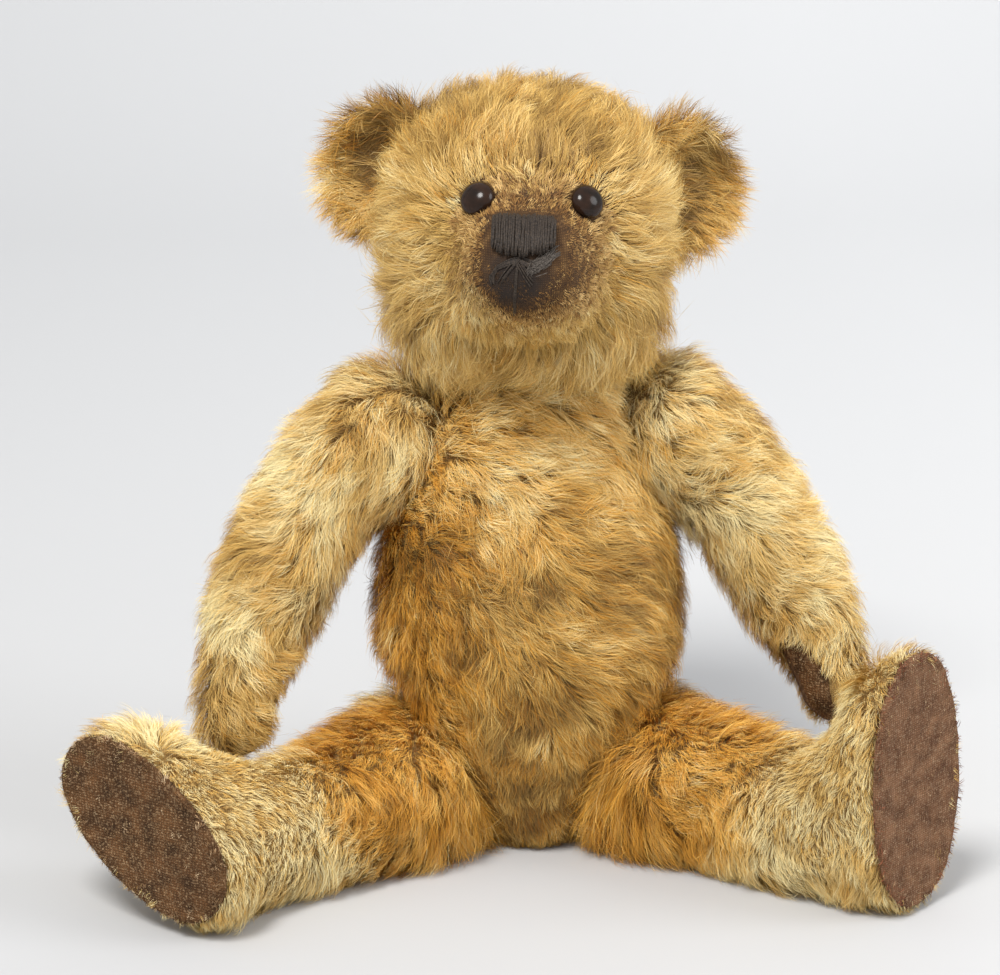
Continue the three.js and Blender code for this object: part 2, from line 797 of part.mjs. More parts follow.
function buildLeg(side, joint) {
  const leg = LEGS[side];
  const surface = loft(leg, new THREE.Vector3(0, 0, 1), {
    startCap: HIP_CAP, endCap: SOLE_CAP, segments: LEG_SEGMENTS, power: 2.45, reach: 0.08, level: true,
  });
  const frame = soleFrame(leg);
  const beyondSole = slab(frame, 0, 60);
  const behindCard = slab(frame, -FOOT_CARD_THICKNESS - GAP, 60);
  const { skin, stuffing, outer } = skinAndStuffing(surface, joint, {
    skin: [beyondSole], stuffing: [behindCard],
  });
  const pad = outer.intersect(slab(frame, GAP, GAP + FOOT_PAD_THICKNESS));
  const card = toBody(inset(surface, FOOT_CARD_INSET)).intersect(slab(frame, -FOOT_CARD_THICKNESS, 0));
  return [
    meshOf(`leg_skin_${side}`, skin, CLOTH_MATERIAL),
    meshOf(`leg_stuffing_${side}`, stuffing, STUFFING_MATERIAL),
    meshOf(`foot_pad_${side}`, pad, FELT_MATERIAL),
    meshOf(`foot_card_${side}`, card, CARD_MATERIAL),
  ];
}

// ---- the whole bear ----

// A limb's group stands at its joint, and its pieces are placed from there.
function limbAt(joint, meshes) {
  const group = new THREE.Group();
  group.position.copy(joint.at);
  for (const mesh of meshes) {
    mesh.position.copy(joint.at).negate();
    group.add(mesh);
  }
  return group;
}

// Stands the bear on the floor with its bounding box centred on the origin.
function centreOnFloor(bear) {
  const box = new THREE.Box3().setFromObject(bear, true);
  const middle = box.getCenter(new THREE.Vector3());
  bear.position.set(-middle.x, -middle.y, -box.min.z);
}

function buildBear() {
  const neck = neckJoint();
  const shoulders = { left: sideJoint(SHOULDER, "left"), right: sideJoint(SHOULDER, "right") };
  const hips = { left: sideJoint(HIP, "left"), right: sideJoint(HIP, "right") };
  const joints = [neck, shoulders.left, shoulders.right, hips.left, hips.right];
  const bear = new THREE.Group();
  bear.name = "jointed_teddy_bear";
  bear.add(...buildTorso(joints));
  bear.add(limbAt(neck, buildHead(neck)), jointHardware("neck", neck));
  for (const side of ["left", "right"]) {
    bear.add(limbAt(shoulders[side], buildArm(side, shoulders[side])));
    bear.add(jointHardware(`shoulder_${side}`, shoulders[side]));
    bear.add(limbAt(hips[side], buildLeg(side, hips[side])));
    bear.add(jointHardware(`hip_${side}`, hips[side]));
  }
  centreOnFloor(bear);
  return bear;
}

const group = buildBear();
export default group;
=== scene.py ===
"""The furry look of a jointed mohair teddy bear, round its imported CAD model. Lengths are in metres."""

import json
import math
from types import SimpleNamespace

import bmesh
import bpy
import numpy as np
from mathutils import Euler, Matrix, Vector
from mathutils.bvhtree import BVHTree
from mathutils.kdtree import KDTree


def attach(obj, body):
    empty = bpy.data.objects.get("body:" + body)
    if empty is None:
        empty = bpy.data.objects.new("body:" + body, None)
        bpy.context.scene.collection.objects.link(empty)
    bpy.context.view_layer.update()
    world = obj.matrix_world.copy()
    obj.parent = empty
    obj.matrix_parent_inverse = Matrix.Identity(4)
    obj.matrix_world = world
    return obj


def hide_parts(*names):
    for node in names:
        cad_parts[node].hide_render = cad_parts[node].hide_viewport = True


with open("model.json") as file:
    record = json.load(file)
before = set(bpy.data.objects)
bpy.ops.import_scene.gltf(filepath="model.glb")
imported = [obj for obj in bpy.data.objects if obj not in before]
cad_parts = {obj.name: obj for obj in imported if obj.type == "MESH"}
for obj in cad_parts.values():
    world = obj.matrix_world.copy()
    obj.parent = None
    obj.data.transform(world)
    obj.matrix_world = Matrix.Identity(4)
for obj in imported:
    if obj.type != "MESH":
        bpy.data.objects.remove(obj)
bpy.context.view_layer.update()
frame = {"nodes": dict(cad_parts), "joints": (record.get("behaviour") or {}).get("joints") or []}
NODES = frame["nodes"]
MM = 0.001

NECK = next(Vector(joint["pos_m"]) for joint in frame["joints"] if joint["name"] == "neck_turn")

# The head's own frame: +X its left, -Y where it looks, +Z its crown.
HEAD_CENTRE = NECK + Vector((0, -2, 41.35)) * MM
HEAD_TURN = Euler([math.radians(a) for a in (-13, 2.5, -6)], "XYZ").to_matrix()

BODY_MIDDLE = np.array(NECK + Vector((0, -8, -83.15)) * MM)

# The camera stands in front, a little above and a little to the bear's right.
CAMERA_TARGET = NECK + Vector((-12, -34, -37.15)) * MM
CAMERA_DISTANCE = 1.45
CAMERA_ELEVATION = math.radians(16)
CAMERA_AZIMUTH = math.radians(-5)
CAMERA_LENS = 153.5

# Name, place, aim, width, watts and colour.
SOFTBOXES = [
    ("softbox_key", (-0.9, -1.7, 2.9), (0, 0, 0.1), 1.2, 106, (1, 0.985, 0.96)),
    ("softbox_fill", (2.4, -0.9, 1.6), (0, 0, 0.12), 1.6, 34, (0.97, 0.98, 1)),
]
ROOM_LIGHT = 0.70

# Hair per square metre, its length and width, and how far apart locks and wisps grow.
PILE_LENGTH = 13 * MM
PILE_DENSITY = 3.3e6
PILE_WIDTH = 0.15 * MM
LOCK_SPACING = 4.6 * MM
WISP_SPACING = 1.5 * MM
WISP_PULL = 0.45
LOCK_PULL = 0.2
STRAY_SHARE = 0.05
SHORTEST_HAIR = 0.3 * MM
FLOOR_CLEARANCE = 0.3 * MM
PAD_FLOOR_CLEARANCE = 0.1 * MM
PAD_GAP = 1.0 * MM
PAD_SIDES = 160
BUTTON_SIDES = 48
LEG_DENSITY = 3.2e6
# How far from the bear's middle plane the inner panels of cloth end.
ARM_PANEL_BORDER = 72 * MM
LEG_PANEL_BORDER = 74 * MM
SHIN = -34 * MM
SIDES = ("left", "right")
MUZZLE_CENTRE = np.array([2.5, -6.0]) * MM
MUZZLE_RADIUS = 20 * MM
STAIN_MIDDLE = np.array([-3, -73, -13]) * MM
PAW_SWEEP = {"left": (0.25, -0.3, -0.9), "right": (0.65, -0.35, -0.7)}

# Tones of the pile by its first coordinate: pale gold from 0 to 0.64, and orange above.
PALE_GOLD = [
    (0.00, (0.19, 0.105, 0.028)),
    (0.15, (0.40, 0.235, 0.06)),
    (0.33, (0.71, 0.45, 0.125)),
    (0.48, (0.92, 0.67, 0.26)),
    (0.64, (1.0, 0.87, 0.48)),
    (0.70, (0.34, 0.14, 0.02)),
    (0.84, (0.78, 0.38, 0.05)),
    (0.98, (0.98, 0.66, 0.19)),
]
# Painted shade deep in the pile: how hair darkens towards its root, by its second coordinate.
PAINTED_ROOT_SHADE = [
    (0.0, (0.66, 0.58, 0.46)),
    (0.35, (0.86, 0.82, 0.76)),
    (0.7, (1.0, 1.0, 1.0)),
    (1.0, (1.0, 1.0, 1.0)),
]

# The same for the nap of the pads, with red-brown above 0.64, and for the bristles on the muzzle.
NAP = [
    (0.0, (0.055, 0.026, 0.010)),
    (0.3, (0.17, 0.088, 0.036)),
    (0.5, (0.46, 0.29, 0.15)),
    (0.64, (0.80, 0.60, 0.38)),
    (0.70, (0.12, 0.035, 0.018)),
    (0.98, (0.42, 0.15, 0.075)),
]
BRISTLE = [
    (0.0, (0.05, 0.028, 0.014)),
    (0.25, (0.26, 0.125, 0.035)),
    (0.48, (0.52, 0.31, 0.10)),
    (0.64, (0.85, 0.58, 0.24)),
]

LIMBS = {
    "body": ("body_skin", "body_stuffing"),
    "head": ("head_skin", "head_stuffing"),
    "arm_left": ("arm_skin_left", "arm_stuffing_left"),
    "arm_right": ("arm_skin_right", "arm_stuffing_right"),
    "leg_left": ("leg_skin_left", "leg_stuffing_left"),
    "leg_right": ("leg_skin_right", "leg_stuffing_right"),
}


# ---- Camera, lights and floor ----


def add_camera():
    data = bpy.data.cameras.new("camera")
    data.lens = CAMERA_LENS
    data.sensor_width = 36
    data.clip_start = 0.05
    camera = bpy.data.objects.new("camera", data)
    bpy.context.scene.collection.objects.link(camera)
    flat = math.cos(CAMERA_ELEVATION)
    away = Vector(
        (
            math.sin(CAMERA_AZIMUTH) * flat,
            -math.cos(CAMERA_AZIMUTH) * flat,
            math.sin(CAMERA_ELEVATION),
        )
    )
    camera.location = CAMERA_TARGET + away * CAMERA_DISTANCE
    camera.rotation_euler = (-away).to_track_quat("-Z", "Y").to_euler()
    bpy.context.scene.camera = camera


def add_area_light(name, place, aim, size, power, colour):
    data = bpy.data.lights.new(name, "AREA")
    data.shape = "DISK"
    data.size = size
    data.energy = power
    data.color = colour
    light = bpy.data.objects.new(name, data)
    bpy.context.scene.collection.objects.link(light)
    light.location = place
    light.rotation_euler = (Vector(aim) - Vector(place)).to_track_quat("-Z", "Y").to_euler()


def add_lights():
    for softbox in SOFTBOXES:
        add_area_light(*softbox)
    world = bpy.data.worlds.new("world")
    world.use_nodes = True
    background = world.node_tree.nodes["Background"]
    background.inputs["Color"].default_value = (0.97, 0.98, 1.0, 1)
    background.inputs["Strength"].default_value = ROOM_LIGHT
    bpy.context.scene.world = world
    bpy.context.scene.view_settings.view_transform = "Standard"


def add_floor():
    """A sheet that runs back and curves up into a backdrop."""
    profile = [(-4.0, 0.0), (1.0, 0.0)]
    for step in range(1, 25):
        angle = math.radians(90 * step / 24)
        profile.append((1.0 + math.sin(angle), 1.0 - math.cos(angle)))
    profile.append((2.0, 4.0))
    points = [(x, y, z) for y, z in profile for x in (-5.0, 5.0)]
    faces = [(2 * i, 2 * i + 1, 2 * i + 3, 2 * i + 2) for i in range(len(profile) - 1)]
    mesh = bpy.data.meshes.new("floor")
    mesh.from_pydata(points, [], faces)
    mesh.shade_smooth()
    floor = bpy.data.objects.new("floor", mesh)
    bpy.context.scene.collection.objects.link(floor)
    mesh.materials.append(paper_material())


# ---- Materials ----


class Shader:
    """A new material with a Principled shader, and short calls for the nodes that feed it."""

    def __init__(self, name, roughness, **sockets):
        self.material = bpy.data.materials.new(name)
        self.material.use_nodes = True
        self.tree = self.material.node_tree
        self.surface = self.tree.nodes["Principled BSDF"]
        self.surface.inputs["Roughness"].default_value = roughness
        for socket, value in sockets.items():
            self.surface.inputs[socket.replace("_", " ")].default_value = value

    def node(self, kind, **settings):
        made = self.tree.nodes.new(kind)
        for key, value in settings.items():
            setattr(made, key, value)
        return made

    def join(self, source, target):
        self.tree.links.new(source, target)

    def place(self):
        return self.node("ShaderNodeTexCoord").outputs["Object"]

    def noise(self, period, detail=2.0, coordinates=None):
        made = self.node("ShaderNodeTexNoise")
        made.inputs["Scale"].default_value = 1 / period
        made.inputs["Detail"].default_value = detail
        self.join(coordinates or self.place(), made.inputs["Vector"])
        return made.outputs["Fac"]

    def wave(self, period, direction, distortion=0.0):
        made = self.node("ShaderNodeTexWave", bands_direction=direction)
        made.inputs["Scale"].default_value = 0.314 / period
        made.inputs["Distortion"].default_value = distortion
        made.inputs["Detail"].default_value = 2
        self.join(self.place(), made.inputs["Vector"])
        return made.outputs["Fac"]

    def maths(self, operation, *values):
        made = self.node("ShaderNodeMath", operation=operation)
        for socket, value in zip(made.inputs, values):
            if isinstance(value, (int, float)):
                socket.default_value = value
            else:
                self.join(value, socket)
        return made.outputs[0]

    def ramp(self, factor, stops):
        made = self.node("ShaderNodeValToRGB")
        elements = made.color_ramp.elements
        while len(elements) < len(stops):
            elements.new(0.5)
        for element, (position, colour) in zip(elements, stops):
            element.position = position
            element.color = (*colour, 1)
        self.join(factor, made.inputs["Fac"])
        return made.outputs["Color"]

    def mix(self, factor, a, b, blend="MIX"):
        made = self.node("ShaderNodeMix", data_type="RGBA", blend_type=blend)
        for socket, value in ((made.inputs[0], factor), (made.inputs[6], a), (made.inputs[7], b)):
            if isinstance(value, (int, float)):
                socket.default_value = value
            elif isinstance(value, tuple):
                socket.default_value = (*value, 1)
            else:
                self.join(value, socket)
        return made.outputs[2]

    def colour(self, source):
        self.join(source, self.surface.inputs["Base Color"])

    def bump(self, height, distance, strength=1.0):
        made = self.node("ShaderNodeBump")
        made.inputs["Distance"].default_value = distance
        made.inputs["Strength"].default_value = strength
        self.join(height, made.inputs["Height"])
        self.join(made.outputs["Normal"], self.surface.inputs["Normal"])


def paper_material():
    """Pale paper, with painted light: a little lighter to the right and further back."""
    shader = Shader("backdrop", 0.9)
    split = shader.node("ShaderNodeSeparateXYZ")
    shader.join(shader.place(), split.inputs[0])
    # Painted light: the paper's colour gets lighter further back and towards the right.
    depth = shader.ramp(
        shader.maths("MULTIPLY_ADD", split.outputs["Y"], 0.7, 0.1),
        [(0.0, (0.548, 0.55, 0.553)), (0.4, (0.576, 0.58, 0.586)), (1.0, (0.6, 0.606, 0.614))],
    )
    across = shader.ramp(
        shader.maths("MULTIPLY_ADD", split.outputs["X"], 1.0, 0.5),
        [(0.2, (0.83, 0.83, 0.83)), (0.8, (1.0, 1.0, 1.0))],
    )
    painted_light_across = shader.mix(1.0, across, (1.09, 1.09, 1.09), "MULTIPLY")
    shader.colour(shader.mix(1.0, depth, painted_light_across, "MULTIPLY"))
    return shader.material


def pile_material(name, tones, depth, roughness):
    """Hair: the first pile coordinate is its tone, and the second how far along it a point is."""
    shader = Shader(name, roughness, Specular_IOR_Level=0.22)
    along = shader.node("ShaderNodeUVMap", uv_map="OFBake")
    split = shader.node("ShaderNodeSeparateXYZ")
    shader.join(along.outputs["UV"], split.inputs[0])
    hair = shader.ramp(split.outputs["X"], tones)
    # Painted shade: the second coordinate darkens the hair towards its root, for the shade deep in the
    # pile.
    shade = shader.ramp(split.outputs["Y"], depth)
    shader.colour(shader.mix(1.0, hair, shade, "MULTIPLY"))
    return shader.material


def weave_height(shader, period):
    """The over-and-under relief of a plain weave."""
    across = shader.wave(period, "X", 1.5)
    along = shader.wave(period, "Z", 1.5)
    return shader.maths("MULTIPLY", across, along)


def backing_material():
    """The woven ground of the mohair, browner with age."""
    shader = Shader("mohair_ground", 0.9, Specular_IOR_Level=0.2)
    cloth = shader.ramp(
        shader.noise(6 * MM), [(0.3, (0.27, 0.16, 0.05)), (0.7, (0.42, 0.27, 0.10))]
    )
    weave = weave_height(shader, 0.7 * MM)
    thread = shader.ramp(weave, [(0.0, (0.55, 0.55, 0.55)), (0.6, (1, 1, 1))])
    shader.colour(shader.mix(1.0, cloth, thread, "MULTIPLY"))
    shader.bump(weave, 0.12 * MM, 0.8)
    return shader.material


def muzzle_distance(shader, centre):
    """How far a point is from one on the muzzle, in metres."""
    offset = shader.node("ShaderNodeVectorMath", operation="DISTANCE")
    shader.join(shader.place(), offset.inputs[0])
    offset.inputs[1].default_value = centre
    return offset.outputs["Value"]


def face_material(stain_centre):
    """Worn face cloth: brown weave, with a dark stain round the mouth."""
    shader = Shader("face_ground", 0.85, Specular_IOR_Level=0.25)
    cloth = shader.ramp(
        shader.noise(3 * MM, 4),
        [(0.3, (0.06, 0.028, 0.01)), (0.55, (0.115, 0.058, 0.02)), (0.75, (0.2, 0.11, 0.04))],
    )
    weave = weave_height(shader, 0.75 * MM)
    thread = shader.ramp(weave, [(0.0, (0.5, 0.48, 0.46)), (0.6, (1, 1, 1))])
    woven = shader.mix(1.0, cloth, thread, "MULTIPLY")
    ragged = shader.maths("MULTIPLY", shader.noise(4 * MM, 3), 9 * MM)
    reach = shader.maths("ADD", muzzle_distance(shader, stain_centre), ragged)
    stain = shader.node("ShaderNodeMapRange")
    stain.inputs["From Min"].default_value = 19 * MM
    stain.inputs["From Max"].default_value = 11 * MM
    shader.join(reach, stain.inputs["Value"])
    shader.colour(shader.mix(stain.outputs["Result"], woven, (0.026, 0.018, 0.014)))
    shader.bump(weave, 0.15 * MM, 0.9)
    return shader.material


def felt_material(name, dark, light, fleck, weave_period):
    """Worn pad cloth: soft patches, bright flecks and a faint weave."""
    shader = Shader(name, 0.92, Specular_IOR_Level=0.2)
    patches = shader.ramp(shader.noise(7 * MM, 4), [(0.35, dark), (0.65, light)])
    flecks = shader.ramp(shader.noise(0.8 * MM, 3), [(0.5, (0, 0, 0)), (0.68, (1, 1, 1))])
    worn = shader.mix(shader.maths("MULTIPLY", flecks, 0.65), patches, fleck)
    weave = weave_height(shader, weave_period)
    thread = shader.ramp(weave, [(0.0, (0.6, 0.6, 0.6)), (0.7, (1, 1, 1))])
    shader.colour(shader.mix(1.0, worn, thread, "MULTIPLY"))
    height = shader.maths("ADD", weave, shader.noise(0.9 * MM, 3))
    shader.bump(height, 0.25 * MM, 1.0)
    return shader.material


def grained(name, roughness, patches, tones, relief, **sockets):
    """A material whose tones follow broad noise, and whose relief follows fine noise."""
    shader = Shader(name, roughness, **sockets)
    shader.colour(shader.ramp(shader.noise(*patches), tones))
    period, detail, depth, strength = relief
    shader.bump(shader.noise(period, detail), depth, strength)
    return shader.material


def thread_material(name, dark, light):
    """Cotton thread with fine strands along it."""
    tones = [(0.35, dark), (0.7, light)]
    relief = (0.25 * MM, 2, 0.08 * MM, 0.8)
    return grained(name, 0.62, (0.5 * MM, 3), tones, relief, Specular_IOR_Level=0.3)


def button_material():
    """A moulded boot button: almost black, with a warm brown cast and fine scratches."""
    tones = [(0.3, (0.010, 0.006, 0.004)), (0.75, (0.034, 0.015, 0.008))]
    relief = (0.6 * MM, 4, 0.01 * MM, 0.5)
    return grained("boot_button", 0.17, (5 * MM, 2), tones, relief, Specular_IOR_Level=0.24)


def wood_wool_material():
    shader = Shader("wood_wool", 0.75)
    shavings = shader.wave(1.6 * MM, "X", 14)
    shader.colour(shader.ramp(shavings, [(0.1, (0.30, 0.20, 0.08)), (0.8, (0.72, 0.58, 0.32))]))
    shader.bump(shavings, 0.6 * MM, 1.0)
    return shader.material


def cardboard_material():
    tones = [(0.3, (0.22, 0.14, 0.075)), (0.7, (0.36, 0.25, 0.14))]
    return grained("cardboard", 0.88, (2 * MM, 5), tones, (0.5 * MM, 3, 0.05 * MM, 0.6))


def steel_material():
    """Plain steel with patches of rust."""
    tones = [(0.45, (0.42, 0.41, 0.40)), (0.75, (0.24, 0.13, 0.07))]
    relief = (0.4 * MM, 3, 0.02 * MM, 0.5)
    return grained("old_steel", 0.38, (2.5 * MM, 5), tones, relief, Metallic=1.0)


# ---- Mesh helpers ----


def new_object(name, points, triangles, material, coordinates=None, smooth=True, normals=None):
    """A mesh object from arrays of points and triangles, with pile coordinates if there are any."""
    points = np.asarray(points, np.float32).reshape(-1, 3)
    triangles = np.asarray(triangles, np.int32).reshape(-1, 3)
    mesh = bpy.data.meshes.new(name)
    mesh.vertices.add(len(points))
    mesh.vertices.foreach_set("co", points.ravel())
    mesh.loops.add(triangles.size)
    mesh.loops.foreach_set("vertex_index", triangles.ravel())
    mesh.polygons.add(len(triangles))
    mesh.polygons.foreach_set("loop_start", np.arange(0, triangles.size, 3, dtype=np.int32))
    mesh.update(calc_edges=True)
    if smooth:
        mesh.polygons.foreach_set("use_smooth", np.ones(len(triangles), bool))
    if coordinates is not None:
        layer = mesh.uv_layers.new(name="OFBake")
        layer.data.foreach_set("uv", np.asarray(coordinates, np.float32)[triangles.ravel()].ravel())
    if normals is not None:
        mesh.normals_split_custom_set_from_vertices(np.asarray(normals, np.float32).reshape(-1, 3))
    mesh.materials.append(material)
    made = bpy.data.objects.new(name, mesh)
    bpy.context.scene.collection.objects.link(made)
    return made


def mesh_arrays(mesh):
    points = np.zeros(len(mesh.vertices) * 3, np.float32)
    mesh.vertices.foreach_get("co", points)
    mesh.calc_loop_triangles()
    triangles = np.zeros(len(mesh.loop_triangles) * 3, np.int32)
    mesh.loop_triangles.foreach_get("vertices", triangles)
    return points.reshape(-1, 3).astype(float), triangles.reshape(-1, 3)


def node_arrays(*names):
    """The points and triangles of some CAD nodes together."""
    points, triangles, count = [], [], 0
    for name in names:
        p, t = mesh_arrays(NODES[name].data)
        points.append(p)
        triangles.append(t + count)
        count += len(p)
    return np.vstack(points), np.vstack(triangles)


def tree_of(points, triangles):
    return BVHTree.FromPolygons([tuple(p) for p in points], [tuple(int(i) for i in t) for t in triangles])


def remeshed(points, triangles, voxel):
    """The outer wall of some overlapping or nested solids, as one even mesh."""
    mesh = bpy.data.meshes.new("rough")
    mesh.from_pydata([tuple(p) for p in points], [], [tuple(int(i) for i in t) for t in triangles])
    rough = bpy.data.objects.new("rough", mesh)
    bpy.context.scene.collection.objects.link(rough)
    remesh = rough.modifiers.new("remesh", "REMESH")
    remesh.mode = "VOXEL"
    remesh.voxel_size = voxel
    graph = bpy.context.evaluated_depsgraph_get()
    even = bpy.data.meshes.new_from_object(rough.evaluated_get(graph))
    arrays = mesh_arrays(even)
    bpy.data.objects.remove(rough)
    return outer_island(*arrays)


def outer_island(points, triangles):
    """The connected part that reaches furthest: the outer wall."""
    label = np.arange(len(points))
    while True:
        lowest = label[triangles].min(axis=1)
        before = label.copy()
        for corner in range(3):
            np.minimum.at(label, triangles[:, corner], lowest)
        label = label[label]
        if (label == before).all():
            break
    names = label[triangles[:, 0]]
    spans = {}
    for name in np.unique(names):
        used = points[label == name]
        spans[name] = np.prod(used.max(0) - used.min(0))
    widest = max(spans, key=spans.get)
    kept = triangles[names == widest]
    used, kept = np.unique(kept, return_inverse=True)
    return points[used], kept.reshape(-1, 3)


def smoothed(points, triangles, rounds):
    """Taubin smoothing, which evens out facets and hardly shrinks the shape."""
    edges = np.vstack((triangles[:, :2], triangles[:, 1:], triangles[:, ::2]))
    edges = np.vstack((edges, edges[:, ::-1]))
    count = np.bincount(edges[:, 0], minlength=len(points))[:, None]
    for turn in range(2 * rounds):
        total = np.zeros_like(points)
        for axis in range(3):
            total[:, axis] = np.bincount(edges[:, 0], points[edges[:, 1], axis], len(points))
        points = points + (0.5 if turn % 2 == 0 else -0.53) * (total / count - points)
    return points


def unit(vectors):
    return vectors / np.maximum(np.linalg.norm(vectors, axis=-1, keepdims=True), 1e-12)


def corner_normals(points, triangles):
    """An outward normal at each point."""
    a, b, c = (points[triangles[:, i]] for i in range(3))
    face = np.cross(b - a, c - a)
    total = np.zeros_like(points)
    for corner in range(3):
        for axis in range(3):
            total[:, axis] += np.bincount(triangles[:, corner], face[:, axis], len(points))
    return unit(total)


def ripple(points, period, seed):
    """Smooth noise, about -1 to 1, whose swells are a period apart."""
    source = np.random.default_rng(seed)
    total = np.zeros(len(points))
    for _ in range(7):
        direction = unit(source.normal(size=3)) * source.uniform(0.6, 1.5)
        total += np.sin(points @ direction * (2 * math.pi / period) + source.uniform(0, 6.3))
    return total / 3


def step_up(values, low, high):
    """0 below low, 1 above high, and smooth between."""
    t = np.clip((values - low) / (high - low), 0, 1)
    return t * t * (3 - 2 * t)


# ---- Cloth skins ----


class Surface:
    """A smooth surface that hair grows from."""

    def __init__(self, points, triangles):
        self.points = points
        self.triangles = triangles
        self.normals = corner_normals(points, triangles)
        a, b, c = (points[triangles[:, i]] for i in range(3))
        self.areas = np.linalg.norm(np.cross(b - a, c - a), axis=1) / 2
        self.tree = tree_of(points, triangles)

    def scatter(self, spacing_or_density, source, dense=False):
        """Points spread evenly over the surface, and the normals there."""
        area = self.areas.sum()
        wanted = area * spacing_or_density if dense else area / spacing_or_density**2
        count = max(8, int(wanted))
        along = (np.arange(count) + source.random(count)) / count * area
        face = np.searchsorted(np.cumsum(self.areas), along)
        face = self.triangles[np.minimum(face, len(self.triangles) - 1)]
        u, v = source.random(count), source.random(count)
        over = u + v > 1
        u[over], v[over] = 1 - u[over], 1 - v[over]
        weights = np.stack((1 - u - v, u, v), axis=1)[:, :, None]
        places = (self.points[face] * weights).sum(1)
        return places, unit((self.normals[face] * weights).sum(1))


def part_of(surface, wanted):
    """The part of a surface whose triangles' middles pass a test."""
    middles = surface.points[surface.triangles].mean(axis=1)
    used, triangles = np.unique(surface.triangles[wanted(middles)], return_inverse=True)
    return Surface(surface.points[used], triangles.reshape(-1, 3))


def node_surface(node, voxel, rounds):
    points, triangles = remeshed(*node_arrays(node), voxel)
    return Surface(smoothed(points, triangles, rounds), triangles)


def limb_surface(limb):
    points, triangles = remeshed(*node_arrays(*LIMBS[limb]), 2.2 * MM)
    return Surface(smoothed(points, triangles, 6), triangles)


def in_head(points):
    """Points in the head's own frame."""
    return (points - np.array(HEAD_CENTRE)) @ np.array(HEAD_TURN)


def from_head(points):
    """Points of the head's own frame in the row frame."""
    return np.asarray(points) @ np.array(HEAD_TURN).T + np.array(HEAD_CENTRE)


# ---- Pile ----


def nearest(places, queries):
    """For each query the index of the nearest place."""
    tree = KDTree(len(places))
    for index, place in enumerate(places):
        tree.insert(place, index)
    tree.balance()
    return np.fromiter((tree.find(q)[1] for q in queries), np.int64, len(queries))


def flattened(directions, normals):
    """The directions laid into the surface."""
    return unit(directions - (directions * normals).sum(-1, keepdims=True) * normals)


def turned(directions, normals, angle):
    angle = np.asarray(angle)[:, None]
    return np.cos(angle) * directions + np.sin(angle) * np.cross(normals, directions)


def nearest_gap(place, others, reach):
    """How far a place is from the nearest other surface, up to a reach, and less than 0 inside one."""
    least = reach
    for tree in others:
        at, normal, _, gap = tree.find_nearest(place, reach)
        if at is not None and gap < abs(least):
            least = gap if (Vector(place) - at).dot(normal) > 0 else -gap
    return least


def room_share(roots, tips, others):
    """The share of its length that hair may keep beside other surfaces.

    It is small where two cloths meet face to face, and less where the tip would run into the other one.
    """
    share = np.ones(len(roots))
    for index, (root, tip) in enumerate(zip(roots, tips)):
        at_root = nearest_gap(root, others, 6 * MM)
        at_tip = nearest_gap(tip, others, 6 * MM)
        share[index] = min(1, max(0.06, (at_root - 0.7 * MM) / (2.6 * MM)))
        share[index] *= min(1, max(0.3, 0.5 + at_tip / (5 * MM)))
    return share


def bent_hairs(root, up, along, size, lift, curl):
    """The root, two bends and tip of each hair, which lies flatter towards its tip."""
    points = [root - 0.4 * MM * up]
    for step, rise in enumerate((1.0, 0.52, 0.14)):
        angle = np.clip(rise * lift, 0.05, 1.4)[:, None]
        heading = turned(along, up, curl * (step + 0.3) / 3)
        stride = np.cos(angle) * heading + np.sin(angle) * up
        points.append(points[-1] + stride * (size / 3)[:, None])
    return points


